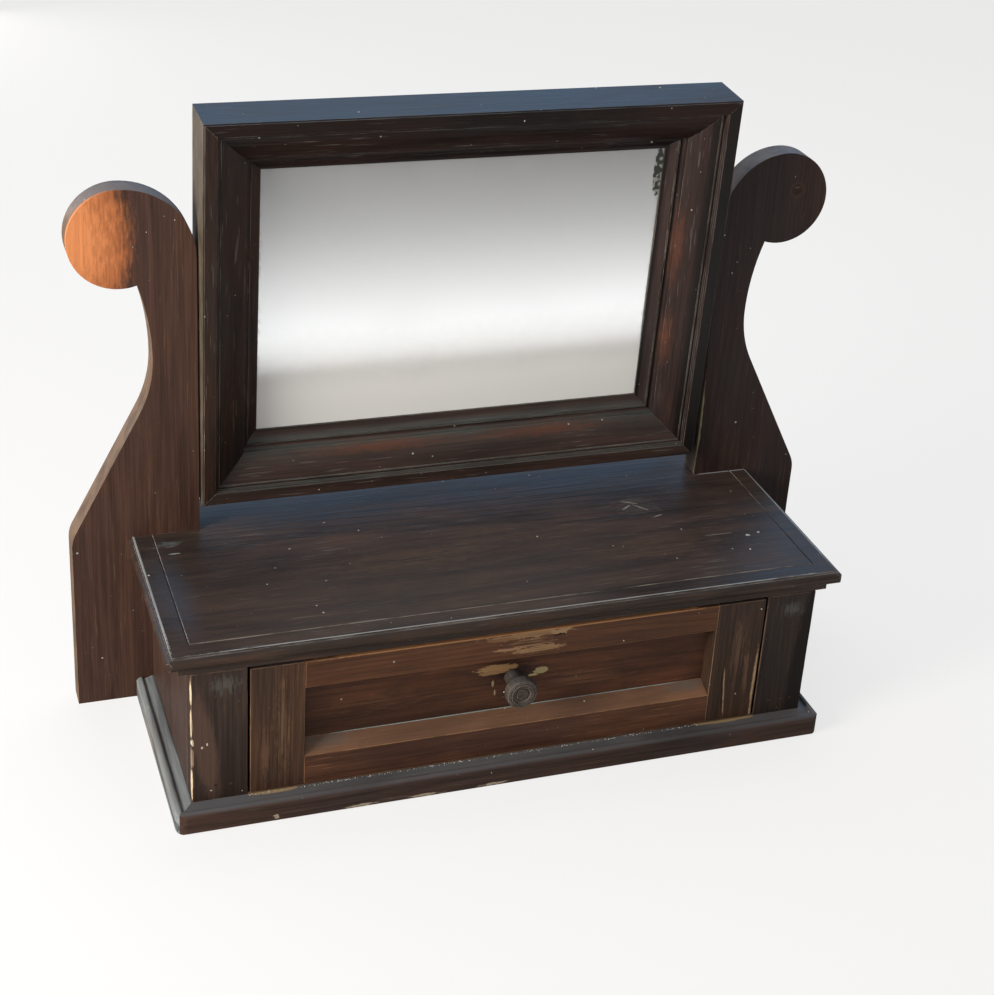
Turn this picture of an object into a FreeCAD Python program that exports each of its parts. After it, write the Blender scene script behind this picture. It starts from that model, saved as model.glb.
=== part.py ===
import FreeCAD, Part
import math
import os
import re

import Sketcher

V = FreeCAD.Vector

# A table-top vanity mirror: a low box with one drawer, two scrolled uprights screwed to the back of its
# sides, and a deep moulded frame with a looking glass that turns on pins between the uprights.
# X runs to the right, Y to the back, Z up. The origin is under the middle of the whole piece.

SIZES = [
    ("standFront", 64.9, "front faces of the uprights, behind the origin"),
    ("standThick", 19.0, "thickness of the uprights"),
    ("standInner", 203.9, "inner edge of the right upright from the middle"),
    ("leftInner", 199.1, "inner edge of the left upright, sawn a little wider"),
    ("standOuter", 293.0, "half width over the uprights' feet"),
    ("discX", 252.1, "centre of the scroll's disc from the middle"),
    ("discZ", 376.6, "height of the disc's centre"),
    ("discRadius", 36.4, "radius of the disc"),
    ("neckX", 231.2, "outer edge of the neck at its narrowest"),
    ("neckZ", 284.0, "height of the narrowest neck"),
    ("neckRadius", 180.0, "hollow curve of the neck above its narrowest"),
    ("hollowRadius", 90.0, "hollow curve below it"),
    ("kneeSlope", 62.4, "slope from the neck to the knee, degrees"),
    ("kneeRadius", 26.0, "round of the knee"),
    ("boardHalf", 250.0, "half width of the top's flat face"),
    ("boardFront", 165.3, "flat face of the top in front of the uprights"),
    ("boardTop", 142.0, "height of the top's upper face"),
    ("boardBack", 46.0, "how far the top reaches behind the uprights' front"),
    ("boardThick", 18.0, "thickness of the top"),
    ("noseReach", 3.0, "round nose beyond the flat face"),
    ("noseThick", 9.0, "thickness of the round nose"),
    ("noseStep", 1.0, "drop from the flat face to the nose"),
    ("mouldBand", 12.0, "moulded band inside the edge of the flat face"),
    ("underReach", 6.5, "fillet under the nose, outside the band's inner edge"),
    ("underCove", 2.5, "hollow between the nose and that fillet"),
    ("lineInset", 15.0, "incised border line from the edge of the flat face"),
    ("lineWidth", 1.1, "width of the incised line"),
    ("lineDepth", 0.5, "depth of the incised line"),
    ("boardRound", 5.0, "worn front corners of the top, in plan"),
    ("boxHalf", 236.0, "half width of the box"),
    ("boxFront", 160.5, "front of the box before the uprights"),
    ("panelThick", 16.0, "side panels and pilasters"),
    ("pilasterInner", 196.6, "half width of the drawer's opening"),
    ("backThick", 12.0, "back panel"),
    ("floorTop", 18.0, "upper face of the bottom board"),
    ("floorThick", 10.0, "bottom board"),
    ("housing", 5.0, "depth of the housings in the side panels"),
    ("plinthReach", 13.0, "plinth moulding in front of the box"),
    ("plinthHigh", 17.5, "height of the plinth moulding"),
    ("plinthRound", 8.0, "worn front corners of the plinth, in plan"),
    ("runInner", 193.0, "half width between the guides behind that opening"),
    ("drawerHalf", 194.9, "half width of the drawer's front"),
    ("drawerBody", 192.0, "half width over the drawer's sides"),
    ("drawerGap", 0.3, "play under the drawer"),
    ("drawerTop", 122.3, "top edge of the drawer's front"),
    ("frontThick", 18.0, "drawer's front frame"),
    ("stileInner", 156.2, "half width between the stiles"),
    ("railLow", 42.4, "upper edge of the lower rail's flat face"),
    ("railHigh", 100.5, "lower edge of the upper rail"),
    ("sillWide", 10.0, "slope of the lower rail up to the panel"),
    ("bevelWide", 2.5, "bevel on the other sides of the panel, on the face"),
    ("bevelDeep", 10.0, "bevel round the panel, into the front"),
    ("fieldThick", 6.0, "drawer's front panel"),
    ("fieldTongue", 7.0, "depth of the grooves round that panel"),
    ("drawerDepth", 188.2, "drawer from front to back"),
    ("drawerWall", 10.0, "drawer's sides and back"),
    ("drawerWallTop", 112.0, "top edge of the drawer's sides"),
    ("drawerFloor", 26.0, "under side of the drawer's bottom"),
    ("drawerFloorThick", 5.0, "drawer's bottom"),
    ("drawerGroove", 4.0, "groove for that bottom"),
    ("knobRadius", 12.2, "knob at its widest"),
    ("knobLength", 25.5, "knob in front of its panel"),
    ("knobNeck", 6.2, "knob's neck radius"),
    ("knobTenon", 4.5, "knob's tenon radius"),
    ("knobTail", 5.0, "tenon behind the panel"),
    ("knobZ", 78.5, "height of the knob"),
    ("stopHigh", 26.0, "height of the drawer stops"),
    ("stopWide", 30.0, "their width"),
    ("stopX", 110.0, "inner edge of a stop from the middle"),
    ("blockWide", 14.0, "glue blocks under the bottom board"),
    ("blockLong", 26.0, "their length"),
    ("nailWide", 2.2, "cut nails through the pilasters"),
    ("nailHigh", 1.8, "their other side"),
    ("nailLong", 30.0, "their length"),
    ("nailZ", 28.0, "their height in the pilasters"),
    ("guideHigh", 16.0, "drawer guides"),
    ("kickerInner", 182.0, "inner edge of the kickers"),
    ("frameWide", 395.5, "mirror frame's width"),
    ("frameHigh", 299.5, "mirror frame's height"),
    ("frameDeep", 40.4, "mirror frame's depth"),
    ("frameSetback", 23.2, "frame's front face before the pivot"),
    ("frameFlat", 9.6, "flat outer border of the frame"),
    ("frameBand", 45.15, "width of the moulding"),
    ("rebateDepth", 29.0, "glass behind the frame's front face"),
    ("rebateWide", 6.5, "lip over the glass"),
    ("glassThick", 3.0, "looking glass"),
    ("backingThick", 5.0, "backing board"),
    ("bradThick", 1.4, "brads behind the backing board"),
    ("bradLong", 14.0, "their length"),
    ("pivotZ", 314.7, "height of the pivot"),
    ("tilt", 3.1, "lean of the mirror, top forward, degrees"),
    ("pinRadius", 4.0, "pivot pins"),
    ("pinBed", 18.0, "pin inside the frame"),
    ("pinReach", 20.0, "pin inside the upright"),
    ("pinPlay", 0.08, "play round the pin"),
    ("screwRadius", 2.2, "wood screws in the uprights"),
    ("screwHead", 4.4, "their heads"),
    ("screwLength", 44.0, "their length"),
]

doc = FreeCAD.newDocument("VanityMirror")
sheet = doc.addObject("Spreadsheet::Sheet", "Sizes")
for row, (alias, number, note) in enumerate(SIZES, 1):
    sheet.set(f"A{row}", note)
    sheet.set(f"B{row}", str(number))
    sheet.setAlias(f"B{row}", alias)
doc.recompute()

ALIASES = {alias for alias, _, _ in SIZES}
NODES = {}


def formula(text):
    """A sheet expression with every alias given its sheet's name."""
    return re.sub(r"[A-Za-z]\w*", lambda m: "Sizes." + m[0] if m[0] in ALIASES else m[0], str(text))


def value(text):
    """The number that an expression gives with the sheet's sizes."""
    result = sheet.evalExpression(formula(text))
    return float(getattr(result, "Value", result))


def bind(thing, **settings):
    """Bind properties to sheet expressions; base_x means Placement.Base.x."""
    for name, text in settings.items():
        thing.setExpression(name.replace("base_", "Placement.Base."), formula(text))
    return thing


def node(thing, label):
    """Give a sub-part its name and keep it for export."""
    thing.Label = label
    NODES[label] = thing
    return thing


def plane(body, role):
    return next(item for item in body.Origin.OriginFeatures if item.Role == role)


def body(name):
    return doc.addObject("PartDesign::Body", name)


def outline(owner, role, points):
    """A closed sketch through points given as expressions.

    After (x, y) comes a straight side to the next point, after (x, y, radius) an arc to it: a
    positive radius turns left on the way, a negative one turns right.
    """
    sketch = owner.newObject("Sketcher::SketchObject", owner.Name + "Outline")
    sketch.AttachmentSupport = [(plane(owner, role), "")]
    sketch.MapMode = "FlatFace"
    corners = [V(value(p[0]), value(p[1]), 0) for p in points]
    count = len(points)
    first, last = [1] * count, [2] * count
    for i, point in enumerate(points):
        start, end = corners[i], corners[(i + 1) % count]
        if len(point) == 2:
            sketch.addGeometry(Part.LineSegment(start, end), False)
            continue
        radius = value(point[2])
        half = (end - start) * 0.5
        left = V(-half.y, half.x, 0).normalize() * math.copysign(1, radius)
        centre = start + half + left * math.sqrt(radius ** 2 - half.Length ** 2)
        turn_from, turn_to = (start, end) if radius > 0 else (end, start)
        angle = math.atan2(turn_from.y - centre.y, turn_from.x - centre.x)
        sweep = 2 * math.asin(half.Length / abs(radius))
        circle = Part.Circle(centre, V(0, 0, 1), abs(radius))
        sketch.addGeometry(Part.ArcOfCircle(circle, angle, angle + sweep), False)
        if radius < 0:
            first[i], last[i] = 2, 1
    for i in range(count):
        following = (i + 1) % count
        sketch.addConstraint(Sketcher.Constraint("Coincident", i, last[i], following, first[following]))
    for i, point in enumerate(points):
        for kind, text in (("DistanceX", point[0]), ("DistanceY", point[1])):
            rule = sketch.addConstraint(
                Sketcher.Constraint(kind, -1, 1, i, first[i], value(text)))
            sketch.setExpression(f"Constraints[{rule}]", formula(text))
        if len(point) == 3:
            rule = sketch.addConstraint(Sketcher.Constraint("Radius", i, abs(value(point[2]))))
            sketch.setExpression(f"Constraints[{rule}]", "abs(" + formula(point[2]) + ")")
    return sketch


def feature(owner, kind, sketch, **options):
    """A PartDesign feature on a sketch; options are its properties."""
    made = owner.newObject("PartDesign::" + kind, owner.Name + kind)
    made.Profile = sketch
    for name, setting in options.items():
        setattr(made, name, setting)
    sketch.Visibility = False
    return made


def pad(owner, sketch, length, **options):
    return bind(feature(owner, "Pad", sketch, **options), Length=length)


def cut_through(owner, role, points):
    """Cut an outline right through the body, both ways from the plane."""
    return feature(owner, "Pocket", outline(owner, role, points), Type="ThroughAll", Midplane=True)


def round_corner(owner, x, y, radius, side=""):
    """Take the vertical arris off a front corner, given in plan; side is - for the left-hand one."""
    turn = f"-({radius})" if side else radius
    cut_through(owner, "XY_Plane", [
        (f"{side}({x} - {radius})", y, turn), (f"{side}({x})", f"{y} + {radius}"),
        (f"{side}({x} + 1)", f"{y} + {radius}"), (f"{side}({x} + 1)", f"{y} - 1"),
        (f"{side}({x} - {radius})", f"{y} - 1")])


def drill(owner, role, offset, centre, radius, depth, towards_plus=False):
    """A blind round hole from a plane at an offset along its normal."""
    sketch = owner.newObject("Sketcher::SketchObject", owner.Name + "Centre")
    sketch.AttachmentSupport = [(plane(owner, role), "")]
    sketch.MapMode = "FlatFace"
    sketch.setExpression("AttachmentOffset.Base.z", formula(offset))
    middle = V(value(centre[0]), value(centre[1]), 0)
    sketch.addGeometry(Part.Circle(middle, V(0, 0, 1), value(radius)), False)
    for kind, text in (("DistanceX", centre[0]), ("DistanceY", centre[1])):
        rule = sketch.addConstraint(Sketcher.Constraint(kind, -1, 1, 0, 3, value(text)))
        sketch.setExpression(f"Constraints[{rule}]", formula(text))
    rule = sketch.addConstraint(Sketcher.Constraint("Radius", 0, value(radius)))
    sketch.setExpression(f"Constraints[{rule}]", formula(radius))
    return bind(feature(owner, "Pocket", sketch, Type="Length", Reversed=towards_plus), Length=depth)


def board(label, x, y, z, length, depth, height):
    """A plain sawn board from its low corner and its sizes."""
    made = doc.addObject("Part::Box", label)
    bind(made, Length=length, Width=depth, Height=height, base_x=x, base_y=y, base_z=z)
    return node(made, label)


def left_of(right, label):
    """The left-hand twin of a right-hand piece."""
    twin = doc.addObject("Part::Mirroring", label)
    twin.Source = right
    twin.Normal = V(1, 0, 0)
    return node(twin, label)


def group(solids, label):
    """Identical small pieces that share one node."""
    made = doc.addObject("Part::Compound", label)
    made.Links = solids
    return node(made, label)


# ---------------------------------------------------------------- uprights

FRONT = "(standFront - boxFront)"
BOARD_UNDER = "(boardTop - boardThick)"
SCREW_X = "(boxHalf - panelThick / 2)"
SCREW_HEIGHTS = ("34", "102")


def upright(name, inner_edge):
    """An upright drawn for the right-hand side: a board sawn to a scroll, with its pin hole."""
    stand = body(name)
    bind(stand, base_y="standFront")
    crown = value(f"discX - {inner_edge}")
    crown_z = value("discZ + discRadius") - crown
    disc = V(value("discX"), value("discZ"), 0)
    neck = V(value("neckX + neckRadius"), value("neckZ"), 0)
    narrowest = V(value("neckX"), value("neckZ"), 0)
    hollow = V(value("neckX + hollowRadius"), value("neckZ"), 0)
    slope = math.radians(value("kneeSlope"))
    hollow_end = hollow + V(-math.sin(slope), -math.cos(slope), 0) * value("hollowRadius")
    knee_x = value("standOuter - kneeRadius")
    knee_top = V(knee_x + value("kneeRadius") * math.sin(slope), 0, 0)
    knee_top.y = hollow_end.y - (knee_top.x - hollow_end.x) * math.tan(slope)
    knee_z = knee_top.y - value("kneeRadius") * math.cos(slope)
    between = (disc - neck).Length
    swing = math.acos((between ** 2 + value("neckRadius ^ 2 - discRadius ^ 2"))
                      / (2 * between * value("neckRadius")))
    notch_angle = math.atan2(disc.y - neck.y, disc.x - neck.x) + swing
    notch = neck + V(math.cos(notch_angle), math.sin(notch_angle), 0) * value("neckRadius")

    sketch = stand.newObject("Sketcher::SketchObject", name + "Outline")
    sketch.AttachmentSupport = [(plane(stand, "XZ_Plane"), "")]
    sketch.MapMode = "FlatFace"

    def line(start, end):
        return sketch.addGeometry(Part.LineSegment(start, end), False)

    def arc(centre, radius, start, end):
        angles = [math.atan2(p.y - centre.y, p.x - centre.x) for p in (start, end)]
        if angles[1] < angles[0]:
            angles[1] += 2 * math.pi
        circle = Part.Circle(centre, V(0, 0, 1), radius)
        return sketch.addGeometry(Part.ArcOfCircle(circle, *angles), False)

    inner, outer = value(inner_edge), value("standOuter")
    top = V(disc.x, crown_z + crown, 0)
    crown_start = V(inner, crown_z, 0)
    knee_centre = V(knee_x, knee_z, 0)
    knee_side = V(outer, knee_z, 0)
    edge = line(V(inner, 0, 0), crown_start)
    crown_arc = arc(V(disc.x, crown_z, 0), crown, top, crown_start)
    disc_arc = arc(disc, value("discRadius"), notch, top)
    neck_arc = arc(neck, value("neckRadius"), notch, narrowest)
    hollow_arc = arc(hollow, value("hollowRadius"), narrowest, hollow_end)
    slant = line(hollow_end, knee_top)
    knee = arc(knee_centre, value("kneeRadius"), knee_side, knee_top)
    side = line(knee_side, V(outer, 0, 0))
    foot = line(V(outer, 0, 0), V(inner, 0, 0))

    def rule(*parts, text=None):
        index = sketch.addConstraint(Sketcher.Constraint(*parts))
        if text:
            sketch.setExpression(f"Constraints[{index}]", formula(text))

    rule("Tangent", edge, 2, crown_arc, 2)
    rule("Tangent", crown_arc, 1, disc_arc, 2)
    rule("Coincident", disc_arc, 1, neck_arc, 1)
    rule("Tangent", neck_arc, 2, hollow_arc, 1)
    rule("Tangent", hollow_arc, 2, slant, 1)
    rule("Tangent", slant, 2, knee, 2)
    rule("Tangent", knee, 1, side, 1)
    rule("Coincident", side, 2, foot, 1)
    rule("Coincident", foot, 2, edge, 1)
    rule("Vertical", edge)
    rule("Vertical", side)
    rule("PointOnObject", foot, 1, -1)
    rule("PointOnObject", foot, 2, -1)
    rule("DistanceX", -1, 1, edge, 1, inner, text=inner_edge)
    rule("DistanceX", -1, 1, side, 2, outer, text="standOuter")
    rule("DistanceX", -1, 1, disc_arc, 3, disc.x, text="discX")
    rule("DistanceY", -1, 1, disc_arc, 3, disc.y, text="discZ")
    rule("Radius", disc_arc, value("discRadius"), text="discRadius")
    rule("DistanceX", -1, 1, crown_arc, 3, disc.x, text="discX")
    rule("DistanceX", -1, 1, neck_arc, 3, neck.x, text="neckX + neckRadius")
    rule("DistanceY", -1, 1, neck_arc, 3, neck.y, text="neckZ")
    rule("Radius", neck_arc, value("neckRadius"), text="neckRadius")
    rule("DistanceY", -1, 1, hollow_arc, 3, neck.y, text="neckZ")
    rule("Radius", hollow_arc, value("hollowRadius"), text="hollowRadius")
    rule("Radius", knee, value("kneeRadius"), text="kneeRadius")
    rule("DistanceY", -1, 1, knee, 3, knee_z)

    pad(stand, sketch, "standThick", Reversed=True)
    drill(stand, "YZ_Plane", inner_edge, ("standThick / 2", "pivotZ"), "pinRadius + pinPlay",
          "pinReach + 1", towards_plus=True)
    return stand


def screw_tools(label, radius, head, length):
    """Shank and countersunk head of each screw in one upright, as separate cutting solids."""
    tools = []
    for height in SCREW_HEIGHTS:
        shank = doc.addObject("Part::Cylinder", label + "Shank")
        bind(shank, Radius=radius, Height=length, base_x=SCREW_X, base_y="standFront + standThick",
             base_z=height)
        cone = doc.addObject("Part::Cone", label + "Head")
        bind(cone, Radius1=head, Radius2=radius, Height=f"({head}) - ({radius})", base_x=SCREW_X,
             base_y="standFront + standThick", base_z=height)
        for tool in (shank, cone):
            tool.Placement.Rotation = FreeCAD.Rotation(V(1, 0, 0), 90)
        screw = doc.addObject("Part::Fuse", label)
        screw.Base, screw.Tool = shank, cone
        tools.append(screw)
    return tools


def uprights():
    holes = doc.addObject("Part::Compound", "ScrewHoles")
    holes.Links = screw_tools("Hole", "screwRadius", "screwHead", "standThick")
    for name, inner_edge in (("UprightRight", "standInner"), ("UprightLeft", "leftInner")):
        drilled = doc.addObject("Part::Cut", name + "Drilled")
        drilled.Base, drilled.Tool = upright(name, inner_edge), holes
        if name == "UprightRight":
            node(drilled, "upright_right")
        else:
            left_of(drilled, "upright_left")
    right = doc.addObject("Part::Compound", "ScrewsRight")
    right.Links = screw_tools("Screw", "screwRadius", "screwHead", "screwLength")
    left = doc.addObject("Part::Mirroring", "ScrewsLeft")
    left.Source, left.Normal = right, V(1, 0, 0)
    group([right, left], "upright_screws")


# ---------------------------------------------------------------- box

def top_board():
    """The top: a slab notched round the uprights, with a nosed edge on three sides."""
    top = body("TopBoard")
    bind(top, base_y="standFront", base_z=BOARD_UNDER)
    slab_x = "(boardHalf - mouldBand)"
    slab_y = "(mouldBand - boardFront)"
    plan = [("-" + slab_x, "0"), ("-" + slab_x, slab_y), (slab_x, slab_y), (slab_x, "0"),
            ("standInner", "0"), ("standInner", "boardBack"), ("-leftInner", "boardBack"),
            ("-leftInner", "0")]
    pad(top, outline(top, "XY_Plane", plan), "boardThick")

    def track(name, x, y):
        """A path round the left, front and right of the board."""
        path = top.newObject("Sketcher::SketchObject", name)
        path.AttachmentSupport = [(plane(top, "XY_Plane"), "")]
        path.MapMode = "FlatFace"
        stops = [("-" + x, "0"), ("-" + x, y), (x, y), (x, "0")]
        ends = [V(value(a), value(b), 0) for a, b in stops]
        for i in range(3):
            path.addGeometry(Part.LineSegment(ends[i], ends[i + 1]), False)
        for i in range(2):
            path.addConstraint(Sketcher.Constraint("Coincident", i, 2, i + 1, 1))
        for i, stop in enumerate(stops):
            where = (i, 1) if i < 3 else (2, 2)
            for kind, text in zip(("DistanceX", "DistanceY"), stop):
                index = path.addConstraint(Sketcher.Constraint(kind, -1, 1, *where, value(text)))
                path.setExpression(f"Constraints[{index}]", formula(text))
        path.Visibility = False
        return path

    nose_low = "(boardThick - noseStep - noseThick)"
    nose_round = "((noseThick / 2) ^ 2 + noseReach ^ 2) / (2 * noseReach)"
    section = [("0", "0"), ("underReach", "0"), ("underReach", nose_low + " - underCove", "-underCove"),
               ("underReach + underCove", nose_low), ("mouldBand", nose_low, nose_round),
               ("mouldBand", "boardThick - noseStep"), ("mouldBand - noseStep", "boardThick - noseStep"),
               ("mouldBand - noseStep", "boardThick"), ("0", "boardThick")]
    outward = [("-" + slab_x + f" - ({p[0]})", p[1]) + tuple(f"-({r})" for r in p[2:]) for p in section]
    edge = feature(top, "AdditivePipe", outline(top, "XZ_Plane", outward), Transition="Right corner")
    edge.Spine = (track("EdgePath", slab_x, slab_y), ["Edge1", "Edge2", "Edge3"])

    line_x = "(boardHalf - lineInset)"
    half = "lineWidth / 2"
    groove = [(f"-{line_x} - {half}", "boardThick - lineDepth"),
              (f"-{line_x} + {half}", "boardThick - lineDepth"),
              (f"-{line_x} + {half}", "boardThick + 1"),
              (f"-{line_x} - {half}", "boardThick + 1")]
    line = feature(top, "SubtractivePipe", outline(top, "XZ_Plane", groove), Transition="Right corner")
    line.Spine = (track("LinePath", line_x, "(lineInset - boardFront)"), ["Edge1", "Edge2", "Edge3"])
    for side in ("", "-"):
        round_corner(top, "boardHalf + noseReach", "-(boardFront + noseReach)", "boardRound", side)
    node(top, "top_board")


def side_panels():
    """The sides: boards with a housing for the bottom, closed in front by the pilasters."""
    side = body("SidePanel")
    bind(side, base_y=FRONT + " + panelThick")
    low = "(boxHalf - panelThick)"
    face = [(low, "0"), ("boxHalf", "0"), ("boxHalf", BOARD_UNDER), (low, BOARD_UNDER),
            (low, "floorTop"), (low + " + housing", "floorTop"),
            (low + " + housing", "floorTop - floorThick"), (low, "floorTop - floorThick")]
    pad(side, outline(side, "XZ_Plane", face), "boxFront - panelThick", Reversed=True)
    node(side, "side_panel_right")
    left_of(side, "side_panel_left")


def bottom_board():
    """The bottom: housed in the sides, notched round the pilasters."""
    bottom = body("BottomBoard")
    bind(bottom, base_y=FRONT, base_z="floorTop - floorThick")
    wide = "(boxHalf - panelThick + housing)"
    back = "(boxFront + boardBack - backThick)"
    plan = [("-pilasterInner", "0"), ("pilasterInner", "0"), ("pilasterInner", "panelThick"),
            (wide, "panelThick"), (wide, "boxFront"), ("standInner", "boxFront"), ("standInner", back),
            ("-leftInner", back), ("-leftInner", "boxFront"), ("-" + wide, "boxFront"),
            ("-" + wide, "panelThick"), ("-pilasterInner", "panelThick")]
    pad(bottom, outline(bottom, "XY_Plane", plan), "floorThick")
    node(bottom, "bottom_board")


# The plinth's section: distance out from the box and height, with the arcs' radii.
PLINTH = [("0", "0"), ("plinthReach - 0.8", "0"), ("plinthReach", "0.8"),
          ("plinthReach", "plinthHigh - 4.2", "3.9"), ("plinthReach - 3.6", "plinthHigh - 0.3"),
          ("plinthReach - 4.6", "plinthHigh - 0.6", "-1.6"), ("plinthReach - 7", "plinthHigh - 1.6"),
          ("1.4", "plinthHigh")]


def plinth():
    """A moulding mitred round the foot of the box, butting against the uprights behind."""
    reach = "plinthReach"
    front = body("PlinthFront")
    bind(front, base_y=FRONT)
    section = PLINTH + [("0", "plinthHigh")]
    across = [(f"-({p[0]})", p[1]) + tuple(f"-({r})" for r in p[2:]) for p in section]
    pad(front, outline(front, "YZ_Plane", across), f"2 * (boxHalf + {reach})", Midplane=True)
    for side in ("", "-"):
        cut_through(front, "XY_Plane", [
            (f"{side}boxHalf", "0"), (f"{side}(boxHalf + {reach} + 1)", f"-({reach} + 1)"),
            (f"{side}(boxHalf + {reach} + 1)", "0")])
        round_corner(front, f"boxHalf + {reach}", f"-{reach}", "plinthRound", side)
    node(front, "plinth_front")

    side = body("PlinthSide")
    bind(side, base_y=f"{FRONT} - {reach}")
    along = [(f"boxHalf + ({p[0]})",) + p[1:] for p in section]
    pad(side, outline(side, "XZ_Plane", along), f"boxFront + {reach}", Reversed=True)
    cut_through(side, "XY_Plane", [("boxHalf", "-1"), (f"boxHalf + {reach} + 1", "-1"), ("boxHalf", reach)])
    round_corner(side, f"boxHalf + {reach}", "0", "plinthRound")
    node(side, "plinth_right")
    left_of(side, "plinth_left")


def box_fittings():
    """Pilasters, back, rear cheeks, guides, kickers, stops and glue blocks."""
    inside = FRONT + " + frontThick + 1"
    run = "boxFront - frontThick - 1"
    pilaster = board("pilaster_right", "pilasterInner", FRONT, "0", "boxHalf - pilasterInner",
                     "panelThick", BOARD_UNDER)
    left_of(pilaster, "pilaster_left")
    board("back_panel", "-leftInner", "standFront + boardBack - backThick", "4", "leftInner + standInner",
          "backThick", BOARD_UNDER + " - 4")
    for label, x, wide in (("rear_cheek_right", "runInner", "standInner - runInner"),
                           ("rear_cheek_left", "-leftInner", "leftInner - runInner")):
        board(label, x, "standFront", "floorTop", wide, "boardBack - backThick", BOARD_UNDER + " - floorTop")
    guide = board("drawer_guide_right", "runInner", inside, "floorTop", "boxHalf - panelThick - runInner",
                  run, "guideHigh")
    left_of(guide, "drawer_guide_left")
    kicker_low = "drawerWallTop + 0.6"
    kicker = board("drawer_kicker_right", "kickerInner", inside, kicker_low,
                   "boxHalf - panelThick - kickerInner", run, f"{BOARD_UNDER} - ({kicker_low})")
    left_of(kicker, "drawer_kicker_left")

    stop = doc.addObject("Part::Box", "Stop")
    bind(stop, Length="stopWide", Width="boxFront + boardBack - backThick - drawerDepth - drawerGap",
         Height="stopHigh", base_x="stopX", base_y=f"{FRONT} + drawerDepth + drawerGap", base_z="floorTop")
    twin = doc.addObject("Part::Mirroring", "StopLeft")
    twin.Source, twin.Normal = stop, V(1, 0, 0)
    group([stop, twin], "drawer_stops")

    blocks = []
    for place in ("30", "105"):
        block = doc.addObject("Part::Box", "Block")
        bind(block, Length="blockWide", Width="blockLong", Height="floorTop - floorThick",
             base_x="boxHalf - panelThick - blockWide", base_y=f"{inside} + {place}", base_z=0)
        twin = doc.addObject("Part::Mirroring", "BlockLeft")
        twin.Source, twin.Normal = block, V(1, 0, 0)
        blocks += [block, twin]
    group(blocks, "glue_blocks")

    nails = []
    for x in ("208.8", "219.2", "226.8"):
        for side in ("", "-"):
            nail = doc.addObject("Part::Box", "CutNail")
            bind(nail, Length="nailWide", Width="nailLong", Height="nailHigh",
                 base_x=f"{side}{x} - nailWide / 2", base_y=FRONT, base_z="nailZ")
            nails.append(nail)
    group(nails, "pilaster_nails")


# ---------------------------------------------------------------- drawer

LOW = "(floorTop + drawerGap)"
SIGHT = "(stileInner - bevelWide)"


def drawer_stiles():
    stile = body("Stile")
    bind(stile, base_y=FRONT)
    face = [("stileInner", LOW), ("drawerHalf", LOW),
            ("drawerHalf", "drawerTop"), ("stileInner", "drawerTop"),
            ("stileInner", "railHigh"), (SIGHT, "railHigh - bevelWide"), (SIGHT, "railLow + sillWide"),
            ("stileInner", "railLow")]
    pad(stile, outline(stile, "XZ_Plane", face), "frontThick", Reversed=True)
    cut_through(stile, "XY_Plane", [
        ("stileInner", "0"), (SIGHT, "bevelDeep"), (SIGHT, "-1"), ("stileInner", "-1")])
    cut_through(stile, "XY_Plane", [
        (SIGHT + " - 1", "bevelDeep"), (SIGHT + " + fieldTongue", "bevelDeep"),
        (SIGHT + " + fieldTongue", "bevelDeep + fieldThick"), (SIGHT + " - 1", "bevelDeep + fieldThick")])
    node(stile, "drawer_stile_right")
    left_of(stile, "drawer_stile_left")


def drawer_rail(label, edge, outer, way, slope):
    """A rail of the drawer's front; way is + when its slope looks up, - when it looks down."""
    rail = body(label.title().replace("_", ""))
    bind(rail, base_y=FRONT)
    sight = f"({edge} {way} {slope})"
    face = [("-stileInner", outer), ("stileInner", outer), ("stileInner", edge), (SIGHT, sight),
            ("-" + SIGHT, sight), ("-stileInner", edge)]
    pad(rail, outline(rail, "XZ_Plane", face), "frontThick", Reversed=True)
    cut_through(rail, "YZ_Plane", [("0", edge), ("bevelDeep", sight), ("-1", sight), ("-1", edge)])
    tongue = [("-" + SIGHT + " - fieldTongue", outer), (SIGHT + " + fieldTongue", outer),
              (SIGHT + " + fieldTongue", edge), ("-" + SIGHT + " - fieldTongue", edge)]
    tenon = outline(rail, "XZ_Plane", tongue)
    tenon.setExpression("AttachmentOffset.Base.z", formula("-bevelDeep"))
    pad(rail, tenon, "fieldThick", Reversed=True)
    over = "-" if way == "+" else "+"
    bottom = f"{sight} {over} fieldTongue"
    cut_through(rail, "YZ_Plane", [
        ("bevelDeep", f"{sight} {way} 1"), ("bevelDeep", bottom),
        ("bevelDeep + fieldThick", bottom), ("bevelDeep + fieldThick", f"{sight} {way} 1")])
    node(rail, label)


def drawer_panel():
    field = body("DrawerPanel")
    bind(field, base_y=FRONT + " + bevelDeep")
    wide = f"({SIGHT} + fieldTongue - 0.5)"
    low, high = "(railLow + sillWide - fieldTongue + 0.5)", "(railHigh - bevelWide + fieldTongue - 0.5)"
    pad(field, outline(field, "XZ_Plane", [("-" + wide, low), (wide, low), (wide, high), ("-" + wide, high)]),
        "fieldThick", Reversed=True)
    drill(field, "XZ_Plane", "0", ("0", "knobZ"), "knobTenon", "fieldThick")
    node(field, "drawer_panel")


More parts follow.
